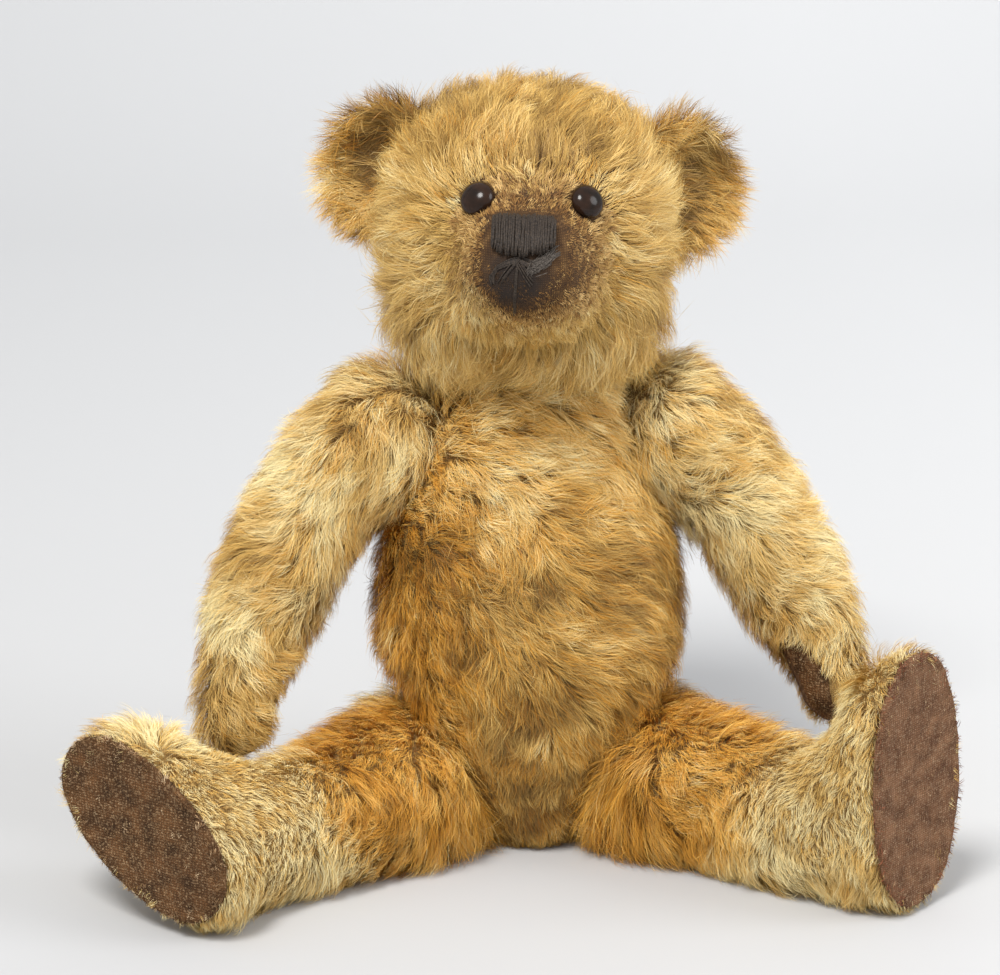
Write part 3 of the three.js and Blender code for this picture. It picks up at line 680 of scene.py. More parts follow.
class Coat:
    """The hair of one surface: where it grows, how it lies, how long it is and what tone it has."""

    def __init__(
        self, surface, comb, length, tone, others=(), seed=1,
        density=PILE_DENSITY, width=PILE_WIDTH, lift=1.0,
    ):
        self.surface = surface
        self.comb = comb
        self.length = length
        self.tone = tone
        self.others = others
        self.seed = seed
        self.density = density
        self.width = width
        self.lift = lift

    def locks(self, spacing, source):
        """Locks of hair: roots, normals, directions, lengths."""
        places, normals = self.surface.scatter(spacing, source)
        combed = flattened(self.comb(places), normals)
        swirl = 0.6 * ripple(places, 48 * MM, self.seed) + 0.25 * ripple(places, 18 * MM, self.seed + 1)
        return places, normals, turned(combed, normals, swirl + source.normal(0, 0.14, len(places)))

    def wisps(self, source):
        """Wisps, each in a lock, with the place, lie, length and tone that their hairs share."""
        lock_at, _, lock_along = self.locks(LOCK_SPACING, source)
        at, up = self.surface.scatter(WISP_SPACING, source)
        lock = nearest(lock_at, at)
        locks, count = len(lock_at), len(at)
        size = self.length(at)
        lean = flattened(lock_along[lock], up)
        tips = at + size[:, None] * (0.5 * up + 0.6 * lean)
        if self.others:
            size = size * room_share(at, tips, self.others)
        size = size * source.uniform(0.82, 1.12, count)
        size = size * source.uniform(0.85, 1.12, locks)[lock]
        lift = source.normal(0, 0.14, count) + source.normal(0, 0.16, locks)[lock]
        curl = source.normal(0, 0.3, count) + source.normal(0, 0.55, locks)[lock]
        tone, warmth = self.tone(at)
        tone = tone + 0.06 * source.normal(size=count)
        tone = tone + 0.07 * source.normal(size=locks)[lock]
        along = turned(lean, up, source.normal(0, 0.16, count))
        return SimpleNamespace(
            at=at, lock_at=lock_at[lock], size=size, lift=lift,
            curl=curl, tone=tone, warmth=warmth, along=along,
        )

    def hairs(self):
        """Four points along each hair, and its upward, flat and root directions, length and tone."""
        source = np.random.default_rng(self.seed)
        wisps = self.wisps(source)
        root, up = self.surface.scatter(self.density, source, dense=True)
        wisp = nearest(wisps.at, root)
        count = len(root)
        size = wisps.size[wisp] * source.uniform(0.7, 1.08, count)
        stray = source.random(count) < STRAY_SHARE
        along = flattened(wisps.along[wisp], up)
        along = turned(along, up, source.normal(0, 0.16, count) + stray * source.normal(0, 0.7, count))
        lift = self.lift * (1 + wisps.lift[wisp] + stray * 0.4)
        curl = wisps.curl[wisp] + stray * source.normal(0, 0.8, count)
        points = bent_hairs(root, up, along, size, lift, curl)
        pull = np.where(stray, 0.0, 1.0)[:, None] * np.minimum(1, size / (8 * MM))[:, None]
        to_wisp = wisps.at[wisp] - root
        to_lock = wisps.lock_at[wisp] - root
        for step, share in ((1, 0.25), (2, 0.55), (3, 0.8)):
            points[step] = points[step] + pull * (share * WISP_PULL * to_wisp + share * LOCK_PULL * to_lock)
        points = np.stack(points, axis=1)
        points[:, :, 2] = np.maximum(points[:, :, 2], FLOOR_CLEARANCE)
        tone = np.clip(wisps.tone[wisp] + 0.05 * source.normal(size=count), 0.01, 0.64)
        warm = source.random(count) < wisps.warmth[wisp]
        tone = np.where(warm, 0.70 + 0.28 * tone / 0.64, tone)
        roll = source.uniform(-0.9, 0.9, count)
        flat = turned(unit(np.cross(along, up)), along, roll)
        kept = size > SHORTEST_HAIR
        return points[kept], up[kept], flat[kept], size[kept], tone[kept], root[kept], source

    def ribbons(self):
        """The hairs as flat tapered ribbons: points, triangles, coordinates, and each ribbon's root."""
        points, up, flat, size, tone, root, source = self.hairs()
        count = len(points)
        half = self.width / 2 * source.uniform(0.75, 1.25, count)[:, None] * flat
        rows = []
        for step, share in ((0, 1.0), (1, 0.95), (2, 0.7)):
            rows.append(points[:, step] - share * half)
            rows.append(points[:, step] + share * half)
        rows.append(points[:, 3])
        corners = np.stack(rows, axis=1)
        corners[:, :, 2] = np.maximum(corners[:, :, 2], FLOOR_CLEARANCE)
        # Painted shade: the second coordinate runs from root to tip and picks the darker root colour; short
        # hair gets less of it.
        depth = np.array([0.02, 0.02, 0.36, 0.36, 0.7, 0.7, 0.98])
        shortness = np.clip(size / (7 * MM), 0.45, 1)[:, None]
        down = depth[None] * shortness + (1 - shortness) * 0.35
        coordinates = np.stack((np.repeat(np.clip(tone, 0.01, 0.99)[:, None], 7, 1), down), axis=2)
        ahead = unit(points[:, 1:] - points[:, :-1])
        facing = np.cross(ahead, flat[:, None])
        facing = unit(facing * np.sign((facing * up[:, None]).sum(-1, keepdims=True)))
        facing = unit(0.6 * up[:, None] + 0.6 * facing)
        normals = facing[:, [0, 0, 1, 1, 2, 2, 2]]
        return corners, coordinates, normals, root


RIBBON = np.array([(0, 1, 3), (0, 3, 2), (2, 3, 5), (2, 5, 4), (4, 5, 6)])


def grow(name, body, coat, material, panels):
    """Makes the coat's hair, one piece for each panel of cloth."""
    corners, coordinates, normals, root = coat.ribbons()
    which = panels(root)
    for panel in sorted(set(which)):
        chosen = np.nonzero(which == panel)[0]
        piece = new_object(
            f"{name}_{panel}" if panel else name,
            corners[chosen],
            RIBBON + 7 * np.arange(len(chosen))[:, None, None],
            material,
            coordinates[chosen].reshape(-1, 2),
            normals=normals[chosen],
        )
        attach(piece, body)


# ---- How the hair lies on each part ----

def body_comb(p):
    low = step_up(0.07 - p[:, 2], 0, 0.035)[:, None]
    sweep = (1 - low) * np.array([0.9, -0.1, -0.42]) + low * np.array([0.35, -0.2, -0.8])
    return sweep + (0.25 - 0.45 * low) * (p - BODY_MIDDLE) / 0.05


def head_comb(p):
    local = in_head(p)
    away = local - np.array([0.001, -0.074, -0.004])
    away[:, 0] += 0.014 * step_up(local[:, 2], 0.0, 0.03)
    away[:, 2] -= 0.05 * step_up(-local[:, 2], 0.0, 0.03)
    return away @ np.array(HEAD_TURN).T


def arm_comb(side, paw):
    def comb(p):
        lower = step_up(0.10 - p[:, 2], 0, 0.04)[:, None]
        shoulder = np.array([0.75 * side, -0.1, -0.65])
        return (1 - lower) * shoulder + lower * np.array(paw)

    return comb


def leg_comb(side, sole):
    def comb(p):
        inner = near_middle(p)[:, None]
        outward = np.array([0.45 * side, -0.4, -0.75])
        inward = np.array([-0.7 * side, -0.4, -0.45])
        sweep = (1 - inner) * outward + inner * inward
        rim = 0.5 * (1 - step_up(from_points(p, sole), 0.03, 0.06)[:, None])
        back = unit(p - sole) + np.array([0, 0.2, -0.5])
        return (1 - rim) * sweep + rim * back

    return comb


def from_points(p, centre):
    return np.linalg.norm(p - centre, axis=1)


def near_middle(p):
    """1 beside the bear's middle plane, and 0 further out than the inner thighs."""
    return 1 - step_up(np.abs(p[:, 0] - BODY_MIDDLE[0]), 0.022, 0.05)


def full_length(p):
    return np.full(len(p), PILE_LENGTH)


def body_length(p):
    """Shorter low down, and shortest at the sides, where the thighs lie against the belly."""
    low = step_up(0.05 - p[:, 2], 0, 0.02)
    side = step_up(np.abs(p[:, 0] - BODY_MIDDLE[0]), 0.006, 0.02)
    return PILE_LENGTH * (1 - 0.4 * low - 0.3 * low * side)


def leg_length(p):
    return PILE_LENGTH * (1 + 0.9 * near_middle(p))


def head_length(eyes):
    def length(p):
        local = in_head(p)
        bare = np.linalg.norm(local[:, [0, 2]] - MUZZLE_CENTRE, axis=1)
        bare = np.where(local[:, 1] < -0.036, bare, 1.0)
        size = PILE_LENGTH * (0.1 + 0.9 * step_up(bare, MUZZLE_RADIUS, MUZZLE_RADIUS + 15 * MM))
        size = size * (1 + 0.5 * step_up(-local[:, 2], 8 * MM, 35 * MM))
        size = size * (1 + 0.35 * step_up(np.abs(local[:, 0]), 20 * MM, 42 * MM))
        for eye in eyes:
            gap = from_points(p, eye)
            size = size * np.where(gap < 7 * MM, 0, 0.3 + 0.7 * step_up(gap, 7 * MM, 17 * MM))
        return np.where(bare < MUZZLE_RADIUS + 0.5 * MM, 0, size)

    return length


def worn_ankle(side, length):
    """The same lengths, but shorter hair on the inside of the ankle, where the paw rubs."""
    place = sole_middle(side) + np.array([-side_sign(side) * 0.034, 0.012, 0.0])

    def worn(p):
        return length(p) * (0.35 + 0.65 * step_up(from_points(p, place), 20 * MM, 42 * MM))

    return worn


def clear_of(tree, gap, length):
    """The same lengths, but no hair within a gap of a pad, and shorter hair round its rim."""

    def trimmed(p):
        size = length(p)
        for index, place in enumerate(p):
            beside = tree.find_nearest(place, 16 * MM)[3]
            if beside is not None:
                size[index] *= 0 if beside < gap else 0.45 + 0.55 * beside / (16 * MM)
        return size

    return trimmed


def gold(p, low, seed, patches=1.0):
    """The pale gold tones, 0 to 0.6, in soft patches."""
    return low + patches * (0.11 * ripple(p, 30 * MM, seed) + 0.08 * ripple(p, 9 * MM, seed + 1))


def patchy(p, weight, seed):
    """A share of orange hairs, in soft patches."""
    return np.clip(weight + 0.14 * ripple(p, 17 * MM, seed), 0, 0.95)


def body_tone(p):
    side = 0.45 * step_up(BODY_MIDDLE[0] - 0.012 - p[:, 0], 0, 0.025)
    # Painted light: the upper chest is given a lighter tone.
    high = step_up(p[:, 2], 0.1, 0.14)
    return gold(p, 0.22 + 0.25 * high, 20, 0.8), patchy(p, 0.27 + side + 0.06 * high, 21)


def head_tone(p):
    local = in_head(p)
    # Painted shade: the tone is darker towards the crown, offsetting the light from above, and a little
    # darker under the chin, where the head's shade falls.
    low = 0.385 - 0.14 * step_up(local[:, 2], 0.01, 0.04) - 0.02 * step_up(-local[:, 2], 0.015, 0.035)
    return gold(p, low, 30, 0.55), patchy(p, 0.02, 31)


def arm_tone(p):
    # Painted shade: the tone is darker low down on the arm, towards the paw.
    low = 0.50 - 0.15 * step_up(0.08 - p[:, 2], 0, 0.03)
    return gold(p, low, 40), patchy(p, 0.12, 41)


def leg_tone(side):
    hip = np.array([BODY_MIDDLE[0] + side * 0.034, -0.0127, 0.045])

    def tone(p):
        weight = 0.8 * step_up(0.056 - from_points(p, hip), 0, 0.022)
        return gold(p, 0.56 - 0.25 * weight, 50, 0.7), patchy(p, 0.1 + weight, 51)

    return tone


def side_sign(side):
    return 1 if side == "left" else -1


def sole_middle(side):
    return np.mean(mesh_arrays(NODES[f"foot_pad_{side}"].data)[0], axis=0)


def one_panel(p):
    return np.full(len(p), "")


def quarters(middle):
    """Four panels round a middle: front or back, left or right."""

    def panels(p):
        front = np.where(p[:, 1] < middle[1], "front", "back")
        side = np.where(p[:, 0] > middle[0], "left", "right")
        return np.char.add(np.char.add(front, "_"), side)

    return panels


def inner_and_outer(middle, side):
    def panels(p):
        return np.where(side * (p[:, 0] - middle) > 0, "outer", "inner")

    return panels


def thigh_and_foot(middle, side):
    """The inner and outer panels of a leg, each cut across at the shin."""

    def panels(p):
        length = np.where(p[:, 1] > SHIN, "thigh", "foot")
        return np.char.add(np.char.add(length, "_"), inner_and_outer(middle, side)(p))

    return panels


# ---- Threads, buttons, ears and pads ----


def tube(path, radius, sides=8, taper=0.35):
    """A round thread along a path, thinner at both ends."""
    path = np.asarray(path, float)
    forward = unit(np.gradient(path, axis=0))
    side = np.cross(forward, [0.31, 0.42, 0.85])
    side = unit(side)
    other = np.cross(forward, side)
    share = np.sin(np.linspace(0.0, math.pi, len(path)))
    sizes = radius * (taper + (1 - taper) * np.minimum(1, 3 * share))
    angles = np.linspace(0, 2 * math.pi, sides, endpoint=False)
    ring = np.cos(angles)[None, :, None] * side[:, None] + np.sin(angles)[None, :, None] * other[:, None]
    points = (path[:, None] + sizes[:, None, None] * ring).reshape(-1, 3)
    triangles = []
    for row in range(len(path) - 1):
        for k in range(sides):
            a, b = row * sides + k, row * sides + (k + 1) % sides
            triangles += [(a, b, b + sides), (a, b + sides, a + sides)]
    points = np.vstack((points, path[:1], path[-1:]))
    first, last, rows = len(points) - 2, len(points) - 1, len(path) - 1
    for k in range(sides):
        following = (k + 1) % sides
        triangles.append((first, following, k))
        triangles.append((last, rows * sides + k, rows * sides + following))
    return points, np.array(triangles)


def gathered(parts):
    """Several lots of points and triangles as one."""
    points, triangles, count = [], [], 0
    for p, t in parts:
        points.append(p)
        triangles.append(t + count)
        count += len(p)
    return np.vstack(points), np.vstack(triangles)


def front_point(tree, x, z):
    """Where a look along the head's own +Y first meets a surface."""
    start = HEAD_CENTRE + HEAD_TURN @ Vector((x, -0.13, z))
    hit = tree.ray_cast(start, HEAD_TURN @ Vector((0, 1, 0)))
    return None if hit[0] is None else np.array(hit[0])


def resampled(path, step):
    path = np.asarray(path, float)
    reach = np.concatenate(([0], np.cumsum(np.linalg.norm(np.diff(path, axis=0), axis=1))))
    at = np.linspace(0, reach[-1], max(4, int(reach[-1] / step) + 1))
    return np.stack([np.interp(at, reach, path[:, axis]) for axis in range(3)], axis=1)


def nose_outline(across):
    """How far the stitches stop short of the nose's top and bottom; -1 is its right side and 1 its left."""
    top = (0.3 + 0.9 * abs(across) ** 4 + 0.5 * math.exp(-((across + 0.05) / 0.2) ** 2)) * MM
    bottom = (0.9 + 3.2 * abs(across) ** 3 + (1.6 * across if across > 0 else 0)) * MM
    return top, bottom


def nose_threads(material):
    """Upright satin stitches side by side over the nose, in three layers."""
    shape = tree_of(*node_arrays("nose_stitching"))
    local = in_head(node_arrays("nose_stitching")[0])
    low, high = local.min(axis=0), local.max(axis=0)
    source = np.random.default_rng(7)
    forward = np.array(HEAD_TURN @ Vector((0, -1, 0)))
    threads = []
    columns = 26
    for layer in (0, 1, 2):
        for column in range(columns):
            across = 2 * (column + 0.5 + 0.4 * layer + source.normal(0, 0.2)) / (columns + 0.8) - 1
            across = 0.97 * min(1, max(-1, across))
            top, bottom = nose_outline(across)
            x = low[0] + (high[0] - low[0]) * (across + 1) / 2
            slant = source.normal(0, 0.5) * MM
            starts = high[2] - top - source.uniform(0, 0.6 + 0.5 * layer) * MM
            stops = low[2] + bottom + source.uniform(0, 0.6 + 0.8 * layer) * MM
            path = []
            for share in np.linspace(0, 1, 13):
                place = front_point(shape, x + slant * share, starts + (stops - starts) * share)
                if place is not None:
                    tuck = 1.4 * max(0, abs(2 * share - 1) - 0.8) / 0.2
                    out = 0.05 + 0.3 * layer - tuck + source.normal(0, 0.05)
                    path.append(place + forward * out * MM)
            if len(path) > 3:
                threads.append(tube(resampled(path, 0.6 * MM), 0.46 * MM, 6, 0.7))
    made = new_object("nose_threads", *gathered(threads), material)
    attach(made, "head")
    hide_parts("nose_stitching")


def stitch_path(tree, corners, count, out):
    """A path on the face through the head's own X and Z, in mm, with both ends sunk in the cloth."""
    forward = np.array(HEAD_TURN @ Vector((0, -1, 0)))
    corners = np.asarray(corners, float)
    at = np.linspace(0, len(corners) - 1, count)
    xs, zs = (np.interp(at, range(len(corners)), corners[:, k]) for k in (0, 1))
    path = []
    for step, (x, z) in enumerate(zip(xs, zs)):
        place = front_point(tree, x * MM, z * MM)
        if place is not None:
            sunk = 0.9 * MM if step in (0, count - 1) else 0.0
            path.append(place + (out - sunk) * forward)
    return path


def mouth_threads(material, face):
    """A seam down the chin, a curved stitch to the bear's right, and a straight one to its left."""
    source = np.random.default_rng(8)
    threads = []
    for corners, strands, spread, radius in (
        (((-2.2, -5.5), (-2.6, -12), (-2.8, -19), (-2.6, -25.5)), 3, 0.16, 0.36),
        (((-1.6, -6.5), (-5.5, -7.8), (-9.5, -10.0), (-11.0, -12.6), (-10.2, -15.2)), 9, 0.5, 0.34),
        (((-2.2, -7.0), (-5.0, -10.8), (-7.6, -14.8)), 5, 0.7, 0.3),
        (((-2.2, -6.5), (2.0, -8.0), (6.0, -6.4), (9.0, -3.6)), 9, 0.6, 0.34),
        (((-2.0, -7.5), (1.0, -12.0), (3.4, -15.0)), 4, 0.8, 0.3),
    ):
        for _ in range(strands):
            moved = np.array(corners) + source.normal(0, spread, 2)
            moved = moved + source.normal(0, 0.25 * spread, (len(corners), 2))
            path = stitch_path(face, moved, 18, source.uniform(0.1, 0.45) * MM)
            threads.append(tube(resampled(path, 0.6 * MM), radius * MM, 6))
    made = new_object("mouth_threads", *gathered(threads), material)
    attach(made, "head")
    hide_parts("mouth_stitching")


def frayed_patch(material, face):
    """The loose grey ends of worn mouth thread, spread over the right of the mouth."""
    source = np.random.default_rng(9)
    threads = []
    for _ in range(220):
        along = source.uniform(0, 1)
        start = (1.0 + 6.5 * along + source.normal(0, 0.8), -11.0 + 5.5 * along + source.normal(0, 1.1))
        angle = math.radians(source.normal(46, 14))
        reach = source.uniform(2.0, 5.5)
        end = (start[0] + reach * math.cos(angle), start[1] + reach * math.sin(angle) * 0.9)
        path = stitch_path(face, (start, end), 7, source.uniform(0.3, 1.0) * MM)
        if len(path) > 3:
            threads.append(tube(path, 0.13 * MM, 4))
    made = new_object("mouth_frayed_ends", *gathered(threads), material)
    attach(made, "head")


def principal_axes(points):
    """The middle of some points, and their axes from widest to thinnest."""
    middle = points.mean(axis=0)
    _, _, axes = np.linalg.svd(points - middle, full_matrices=False)
    return middle, axes


def button_profile(radius, bottom, top):
    """Half the outline of a domed button with a rolled rim: distances from its axis, and heights."""
    height = top - bottom
    profile = [(0.0, bottom), (0.7 * radius, bottom), (0.93 * radius, bottom + 0.12 * height)]
    for step in range(15):
        angle = math.radians(90 * step / 14)
        reach = radius * math.cos(angle)
        profile.append((max(reach, 0.0), bottom + 0.3 * height + 0.7 * height * math.sin(angle)))
    return profile


def spun(profile, middle, axis, sides):
    """Points and triangles of a profile turned round an axis."""
    side_axis = unit(np.cross(axis, [0, 0, 1.0]))
    up_axis = np.cross(axis, side_axis)
    points, triangles = [], []
    for reach, rise in profile:
        for k in range(sides):
            angle = 2 * math.pi * k / sides
            outward = math.cos(angle) * side_axis + math.sin(angle) * up_axis
            points.append(middle + rise * axis + reach * outward)
    for row in range(len(profile) - 1):
        for k in range(sides):
            a, b = row * sides + k, row * sides + (k + 1) % sides
            triangles += [(a, a + sides, b + sides), (a, b + sides, b)]
    return np.array(points), np.array(triangles)


def button_eye(side, material):
    """A domed boot button in place of the CAD one."""
    points, _ = mesh_arrays(NODES[f"eye_{side}"].data)
    middle, axes = principal_axes(points)
    ahead = np.array(HEAD_TURN @ Vector((0, -1, 0)))
    axis = min(axes, key=lambda a: abs(abs(a @ ahead) - 1))
    axis = axis * np.sign(axis @ ahead)
    along = (points - middle) @ axis
    radius = np.linalg.norm((points - middle) - along[:, None] * axis, axis=1).max()
    profile = button_profile(radius, along.min(), along.max())
    dome = spun(profile, middle, axis, BUTTON_SIDES)
    made = new_object(f"eye_button_{side}", *dome, material)
    weld = bmesh.new()
    weld.from_mesh(made.data)
    bmesh.ops.remove_doubles(weld, verts=weld.verts, dist=1e-6)
    bmesh.ops.recalc_face_normals(weld, faces=weld.faces)
    weld.to_mesh(made.data)
    weld.free()
    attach(made, "head")
    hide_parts(f"eye_{side}")


def ear(side, sign, ground, pile, low, seed):
    """Two layers of mohair, long outside and at the rim, short in the hollow, where painted shade makes it
    dark.
    """
    surface = node_surface(f"ear_{side}", 1.1 * MM, 5)
    cloth = new_object(f"ear_{side}_cloth", surface.points, surface.triangles, ground)
    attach(cloth, "head")
    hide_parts(f"ear_{side}")
    middle, axes = principal_axes(surface.points)
    facing = axes[2] * -np.sign((axes[2] @ np.array(HEAD_TURN))[1])
    root = middle - np.array(HEAD_TURN @ Vector((sign * 14 * MM, 0, 8 * MM)))

    def hollow(p):
        inside = step_up(-from_points(p, middle - 3 * MM * facing), -15 * MM, -7 * MM)
        return inside * ((p - middle) @ facing > -2 * MM)

    def comb(p):
        away = unit(p - root) + np.array([0.3 * sign, 0, -0.6])
        return away + 0.35 * facing * (1 - hollow(p))[:, None]

    def length(p):
        return PILE_LENGTH * (0.95 - 0.5 * hollow(p))

    def tone(p):
        # Painted shade: hair in the hollow of the ear gets a darker tone.
        return gold(p, low - 0.2 * hollow(p), seed), patchy(p, 0.15, seed + 2)

    coat = Coat(surface, comb, length, tone, (), seed, lift=0.6)
    grow(f"ear_{side}_pile", "head", coat, pile, one_panel)


def smooth_outline(flat):
    """A smooth ring of points round some flat ones.

    How far the points reach each way is averaged over nearby ways, and its slope places each ring point.
    """
    turns = np.linspace(0, 2 * math.pi, PAD_SIDES, endpoint=False)
    ways = np.stack((np.cos(turns), np.sin(turns)), axis=1)
    reach = (flat @ ways.T).max(axis=0)
    half = PAD_SIDES // 2
    spread = np.exp(-0.5 * ((np.arange(PAD_SIDES) - half) / 5.0) ** 2)
    spread = np.roll(spread / spread.sum(), -half)
    reach = np.real(np.fft.ifft(np.fft.fft(reach) * np.fft.fft(spread)))
    slope = (np.roll(reach, -1) - np.roll(reach, 1)) / (4 * math.pi / PAD_SIDES)
    return reach[:, None] * ways + slope[:, None] * ways[:, ::-1] * np.array([-1, 1])


def flat_pad_surface(node, seed):
    """A flat CAD pad with a smooth outline, a rolled edge and a slightly lumpy face."""
    points, _ = mesh_arrays(NODES[node].data)
    middle, (long_axis, wide_axis, thin_axis) = principal_axes(points)
    flat = (points - middle) @ np.stack((long_axis, wide_axis), axis=1)
    half = np.abs((points - middle) @ thin_axis).max()
    ring = smooth_outline(flat)
    shares = [k / 40 for k in range(1, 38)]
    profile = [(share, half) for share in shares]
    bends = np.linspace(0.15, math.pi - 0.15, 9)
    profile += [(0.96 + 0.04 * math.sin(bend), half * math.cos(bend)) for bend in bends]
    profile += [(share, -half) for share in reversed(shares)]
    points = [middle + half * thin_axis]
    for share, height in profile:
        row = share * ring
        points.extend(middle + row @ np.stack((long_axis, wide_axis)) + height * thin_axis)
    points.append(middle - half * thin_axis)
    points = np.array(points)
    triangles = []
    for k in range(PAD_SIDES):
        following = (k + 1) % PAD_SIDES
        triangles.append((0, 1 + k, 1 + following))
        last = 1 + (len(profile) - 1) * PAD_SIDES
        triangles.append((len(points) - 1, last + following, last + k))
        for row in range(len(profile) - 1):
            a, b = 1 + row * PAD_SIDES + k, 1 + row * PAD_SIDES + following
            triangles += [(a, a + PAD_SIDES, b + PAD_SIDES), (a, b + PAD_SIDES, b)]
    triangles = np.array(triangles)
    a, b, c = (points[triangles[:, i]] for i in range(3))
    if (np.cross(b - a, c - a) * a).sum() < (np.cross(b - a, c - a) * middle).sum():
        triangles = triangles[:, ::-1]
    surface = Surface(points, triangles)
    lumps = 0.14 * ripple(points, 4 * MM, seed) + 0.18 * ripple(points, 13 * MM, seed + 1)
    return Surface(points + surface.normals * (lumps * MM)[:, None], triangles)


def felt_pad(
    node, name, body, material, fuzz, seed,
    density=2.2e6, flat=True, edge_length=2.4, edge_tone=0.0,
):
    """A cut pad of worn cloth with its nap, which is longer round the edge."""
    surface = flat_pad_surface(node, seed) if flat else node_surface(node, 0.7 * MM, 6)
    heights = np.maximum(surface.points[:, 2], PAD_FLOOR_CLEARANCE)
    surface = Surface(np.column_stack((surface.points[:, :2], heights)), surface.triangles)
    pad = new_object(name, surface.points, surface.triangles, material)
    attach(pad, body)
    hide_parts(node)
    middle, axes = principal_axes(surface.points)
    spans = np.abs((surface.points - middle) @ axes.T).max(axis=0)

    def edge(p):
        flat_share = ((p - middle) @ axes.T)[:, :2] / spans[:2]
        return step_up(np.linalg.norm(flat_share, axis=1), 0.86, 0.98)

    def comb(p):
        waves = np.stack([ripple(p, 5 * MM, seed + k) for k in (2, 3, 4)], axis=1)
        return waves + 1.5 * edge(p)[:, None] * unit(p - middle)

    def length(p):
        return (1.3 + (edge_length - 1.3) * edge(p)) * MM

    def tone(p):
        grain = 0.27 + 0.15 * ripple(p, 5 * MM, seed + 5) + 0.2 * ripple(p, 1.1 * MM, seed + 6)
        return grain, edge_tone * edge(p)

    coat = Coat(surface, comb, length, tone, (), seed, density=density, width=0.2 * MM, lift=0.8)
    grow(f"{name}_nap", body, coat, fuzz, one_panel)


def stuffing(limb, material):
    """Packed wood wool: the CAD stuffing with a lumpy surface."""
    points, triangles = remeshed(*node_arrays(LIMBS[limb][1]), 2.6 * MM)
    normals = corner_normals(points, triangles)
    points = points - normals * ((0.8 + 0.5 * ripple(points, 9 * MM, 60)) * MM)[:, None]
    made = new_object(f"{limb}_wood_wool", points, triangles, material)
    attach(made, limb)
    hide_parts(LIMBS[limb][1])


def dress(names, material):
    """Gives CAD nodes that stay in view their real material."""
    for name in names:
        NODES[name].data.materials.clear()
        NODES[name].data.materials.append(material)


# ---- Skins, piles and stubble ----


def add_skin(limb, material):
    surface = surfaces[limb]
    skin = new_object(f"{limb}_cloth", surface.points, surface.triangles, material)
    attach(skin, limb)
    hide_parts(LIMBS[limb][0])


def eye_centres():
    return [np.mean(mesh_arrays(NODES[f"eye_{side}"].data)[0], axis=0) for side in SIDES]


def body_pile():
    others = [tree for limb, tree in trees.items() if limb != "body"]
    coat = Coat(surfaces["body"], body_comb, body_length, body_tone, others, 100)
    grow("body_pile", "body", coat, PILE, quarters(BODY_MIDDLE))


def head_pile():
    length = head_length(eye_centres())
    others = [trees["body"], trees["arm_left"], trees["arm_right"]]
    coat = Coat(surfaces["head"], head_comb, length, head_tone, others, 200)
    grow("head_pile", "head", coat, PILE, quarters(np.array(HEAD_CENTRE)))


def arm_pile(side):
    sign = side_sign(side)
    limb = f"arm_{side}"
    length = clear_of(tree_of(*node_arrays(f"paw_pad_{side}")), PAD_GAP, full_length)
    others = [trees["body"], trees["head"], trees[f"leg_{side}"]]
    comb = arm_comb(sign, PAW_SWEEP[side])
    coat = Coat(surfaces[limb], comb, length, arm_tone, others, 300 + sign)
    panels = inner_and_outer(BODY_MIDDLE[0] + sign * ARM_PANEL_BORDER, sign)
    grow(f"arm_pile_{side}", limb, coat, PILE, panels)


def leg_pile(side):
    sign = side_sign(side)
    limb = f"leg_{side}"
    pad = tree_of(*node_arrays(f"foot_pad_{side}"))
    length = clear_of(pad, PAD_GAP, worn_ankle(side, leg_length))
    others = [trees["body"], trees[f"arm_{side}"]]
    comb = leg_comb(sign, sole_middle(side))
    tone = leg_tone(sign)
    coat = Coat(surfaces[limb], comb, length, tone, others, 400 + sign, density=LEG_DENSITY)
    panels = thigh_and_foot(BODY_MIDDLE[0] + sign * LEG_PANEL_BORDER, sign)
    grow(f"leg_pile_{side}", limb, coat, PILE, panels)


def muzzle_gap(local):
    """How far places in the head's own frame are from the middle of the muzzle."""
    return np.linalg.norm(local[:, [0, 2]] - MUZZLE_CENTRE, axis=1)


def on_muzzle(p):
    local = in_head(p)
    return (muzzle_gap(local) < MUZZLE_RADIUS + 9 * MM) & (local[:, 1] < -30 * MM)


def stubble_length(p):
    gap = muzzle_gap(in_head(p))
    size = (1.3 + 2.6 * step_up(gap, MUZZLE_RADIUS - 6 * MM, MUZZLE_RADIUS + 9 * MM)) * MM
    size = size * (0.6 + 0.4 * step_up(gap, 6 * MM, 13 * MM))
    for eye in eye_centres():
        size = np.where(from_points(p, eye) < 7 * MM, 0, size)
    return size


def stubble_tone(p):
    local = in_head(p)
    tone = 0.27 + 0.19 * step_up(muzzle_gap(local), 8 * MM, 26 * MM) + 0.12 * ripple(p, 4 * MM, 71)
    return tone * step_up(from_points(local, STAIN_MIDDLE), 6 * MM, 14 * MM), np.zeros(len(p))


def muzzle_stubble():
    surface = part_of(surfaces["head"], on_muzzle)
    nose = tree_of(*node_arrays("nose_stitching"))
    coat = Coat(
        surface, head_comb, stubble_length, stubble_tone, (nose,), 700,
        density=3.6e6, width=0.18 * MM, lift=1.2,
    )
    grow("muzzle_stubble", "head", coat, STUBBLE, one_panel)


# ---- Putting it together ----

add_camera()
add_lights()
add_floor()

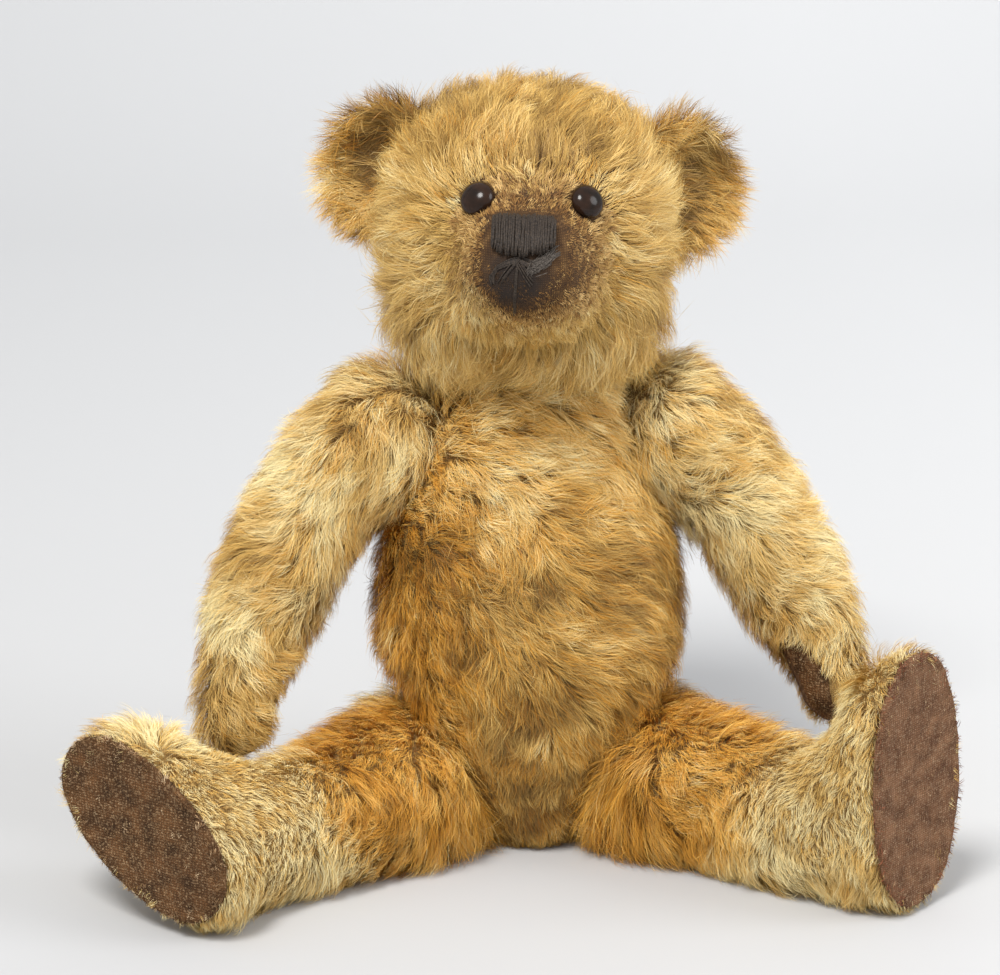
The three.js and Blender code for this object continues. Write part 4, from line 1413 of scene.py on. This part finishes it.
PILE = pile_material("mohair_pile", PALE_GOLD, PAINTED_ROOT_SHADE, 0.42)
GROUND = backing_material()
STRAW = wood_wool_material()
FACE = face_material(from_head(STAIN_MIDDLE))
BLACK_THREAD = thread_material("black_thread", (0.011, 0.008, 0.006), (0.062, 0.044, 0.031))
GREY_THREAD = thread_material("grey_thread", (0.045, 0.036, 0.029), (0.16, 0.135, 0.112))
BUTTON = button_material()
CARD = cardboard_material()
STEEL = steel_material()
FELT = felt_material("sole_felt", (0.065, 0.031, 0.012), (0.18, 0.082, 0.03), (0.46, 0.30, 0.16), 0.9 * MM)
WOVEN = felt_material("sole_weave", (0.14, 0.062, 0.03), (0.31, 0.155, 0.078), (0.46, 0.30, 0.18), 0.8 * MM)
FUZZ = pile_material("pad_nap", NAP, PAINTED_ROOT_SHADE, 0.8)
STUBBLE = pile_material("muzzle_stubble", BRISTLE, PAINTED_ROOT_SHADE, 0.55)

surfaces = {limb: limb_surface(limb) for limb in LIMBS}
trees = {limb: surface.tree for limb, surface in surfaces.items()}

for limb in LIMBS:
    add_skin(limb, FACE if limb == "head" else GROUND)
    stuffing(limb, STRAW)

body_pile()
head_pile()
for side in SIDES:
    arm_pile(side)
    leg_pile(side)

nose_threads(BLACK_THREAD)
mouth_threads(BLACK_THREAD, trees["head"])
frayed_patch(GREY_THREAD, trees["head"])
for side in SIDES:
    button_eye(side, BUTTON)
ear("left", 1, GROUND, PILE, 0.31, 500)
ear("right", -1, GROUND, PILE, 0.25, 520)
felt_pad("foot_pad_right", "sole_pad_right", "leg_right", FELT, FUZZ, 600)
felt_pad(
    "foot_pad_left", "sole_pad_left", "leg_left", WOVEN, FUZZ, 620,
    density=0.9e6, edge_length=3.2, edge_tone=0.8,
)
felt_pad("paw_pad_right", "paw_felt_right", "arm_right", FELT, FUZZ, 640, flat=False)
felt_pad("paw_pad_left", "paw_felt_left", "arm_left", FELT, FUZZ, 660, flat=False)
muzzle_stubble()

JOINTS = ("neck", "shoulder_left", "shoulder_right", "hip_left", "hip_right")
dress([f"{joint}_{end}_disc" for joint in JOINTS for end in ("body", "limb")], CARD)
dress(["foot_card_left", "foot_card_right"], CARD)
dress([f"{joint}_{end}_washer" for joint in JOINTS for end in ("body", "limb")], STEEL)
dress([f"{joint}_pin" for joint in JOINTS] + ["eye_shank_left", "eye_shank_right"], STEEL)
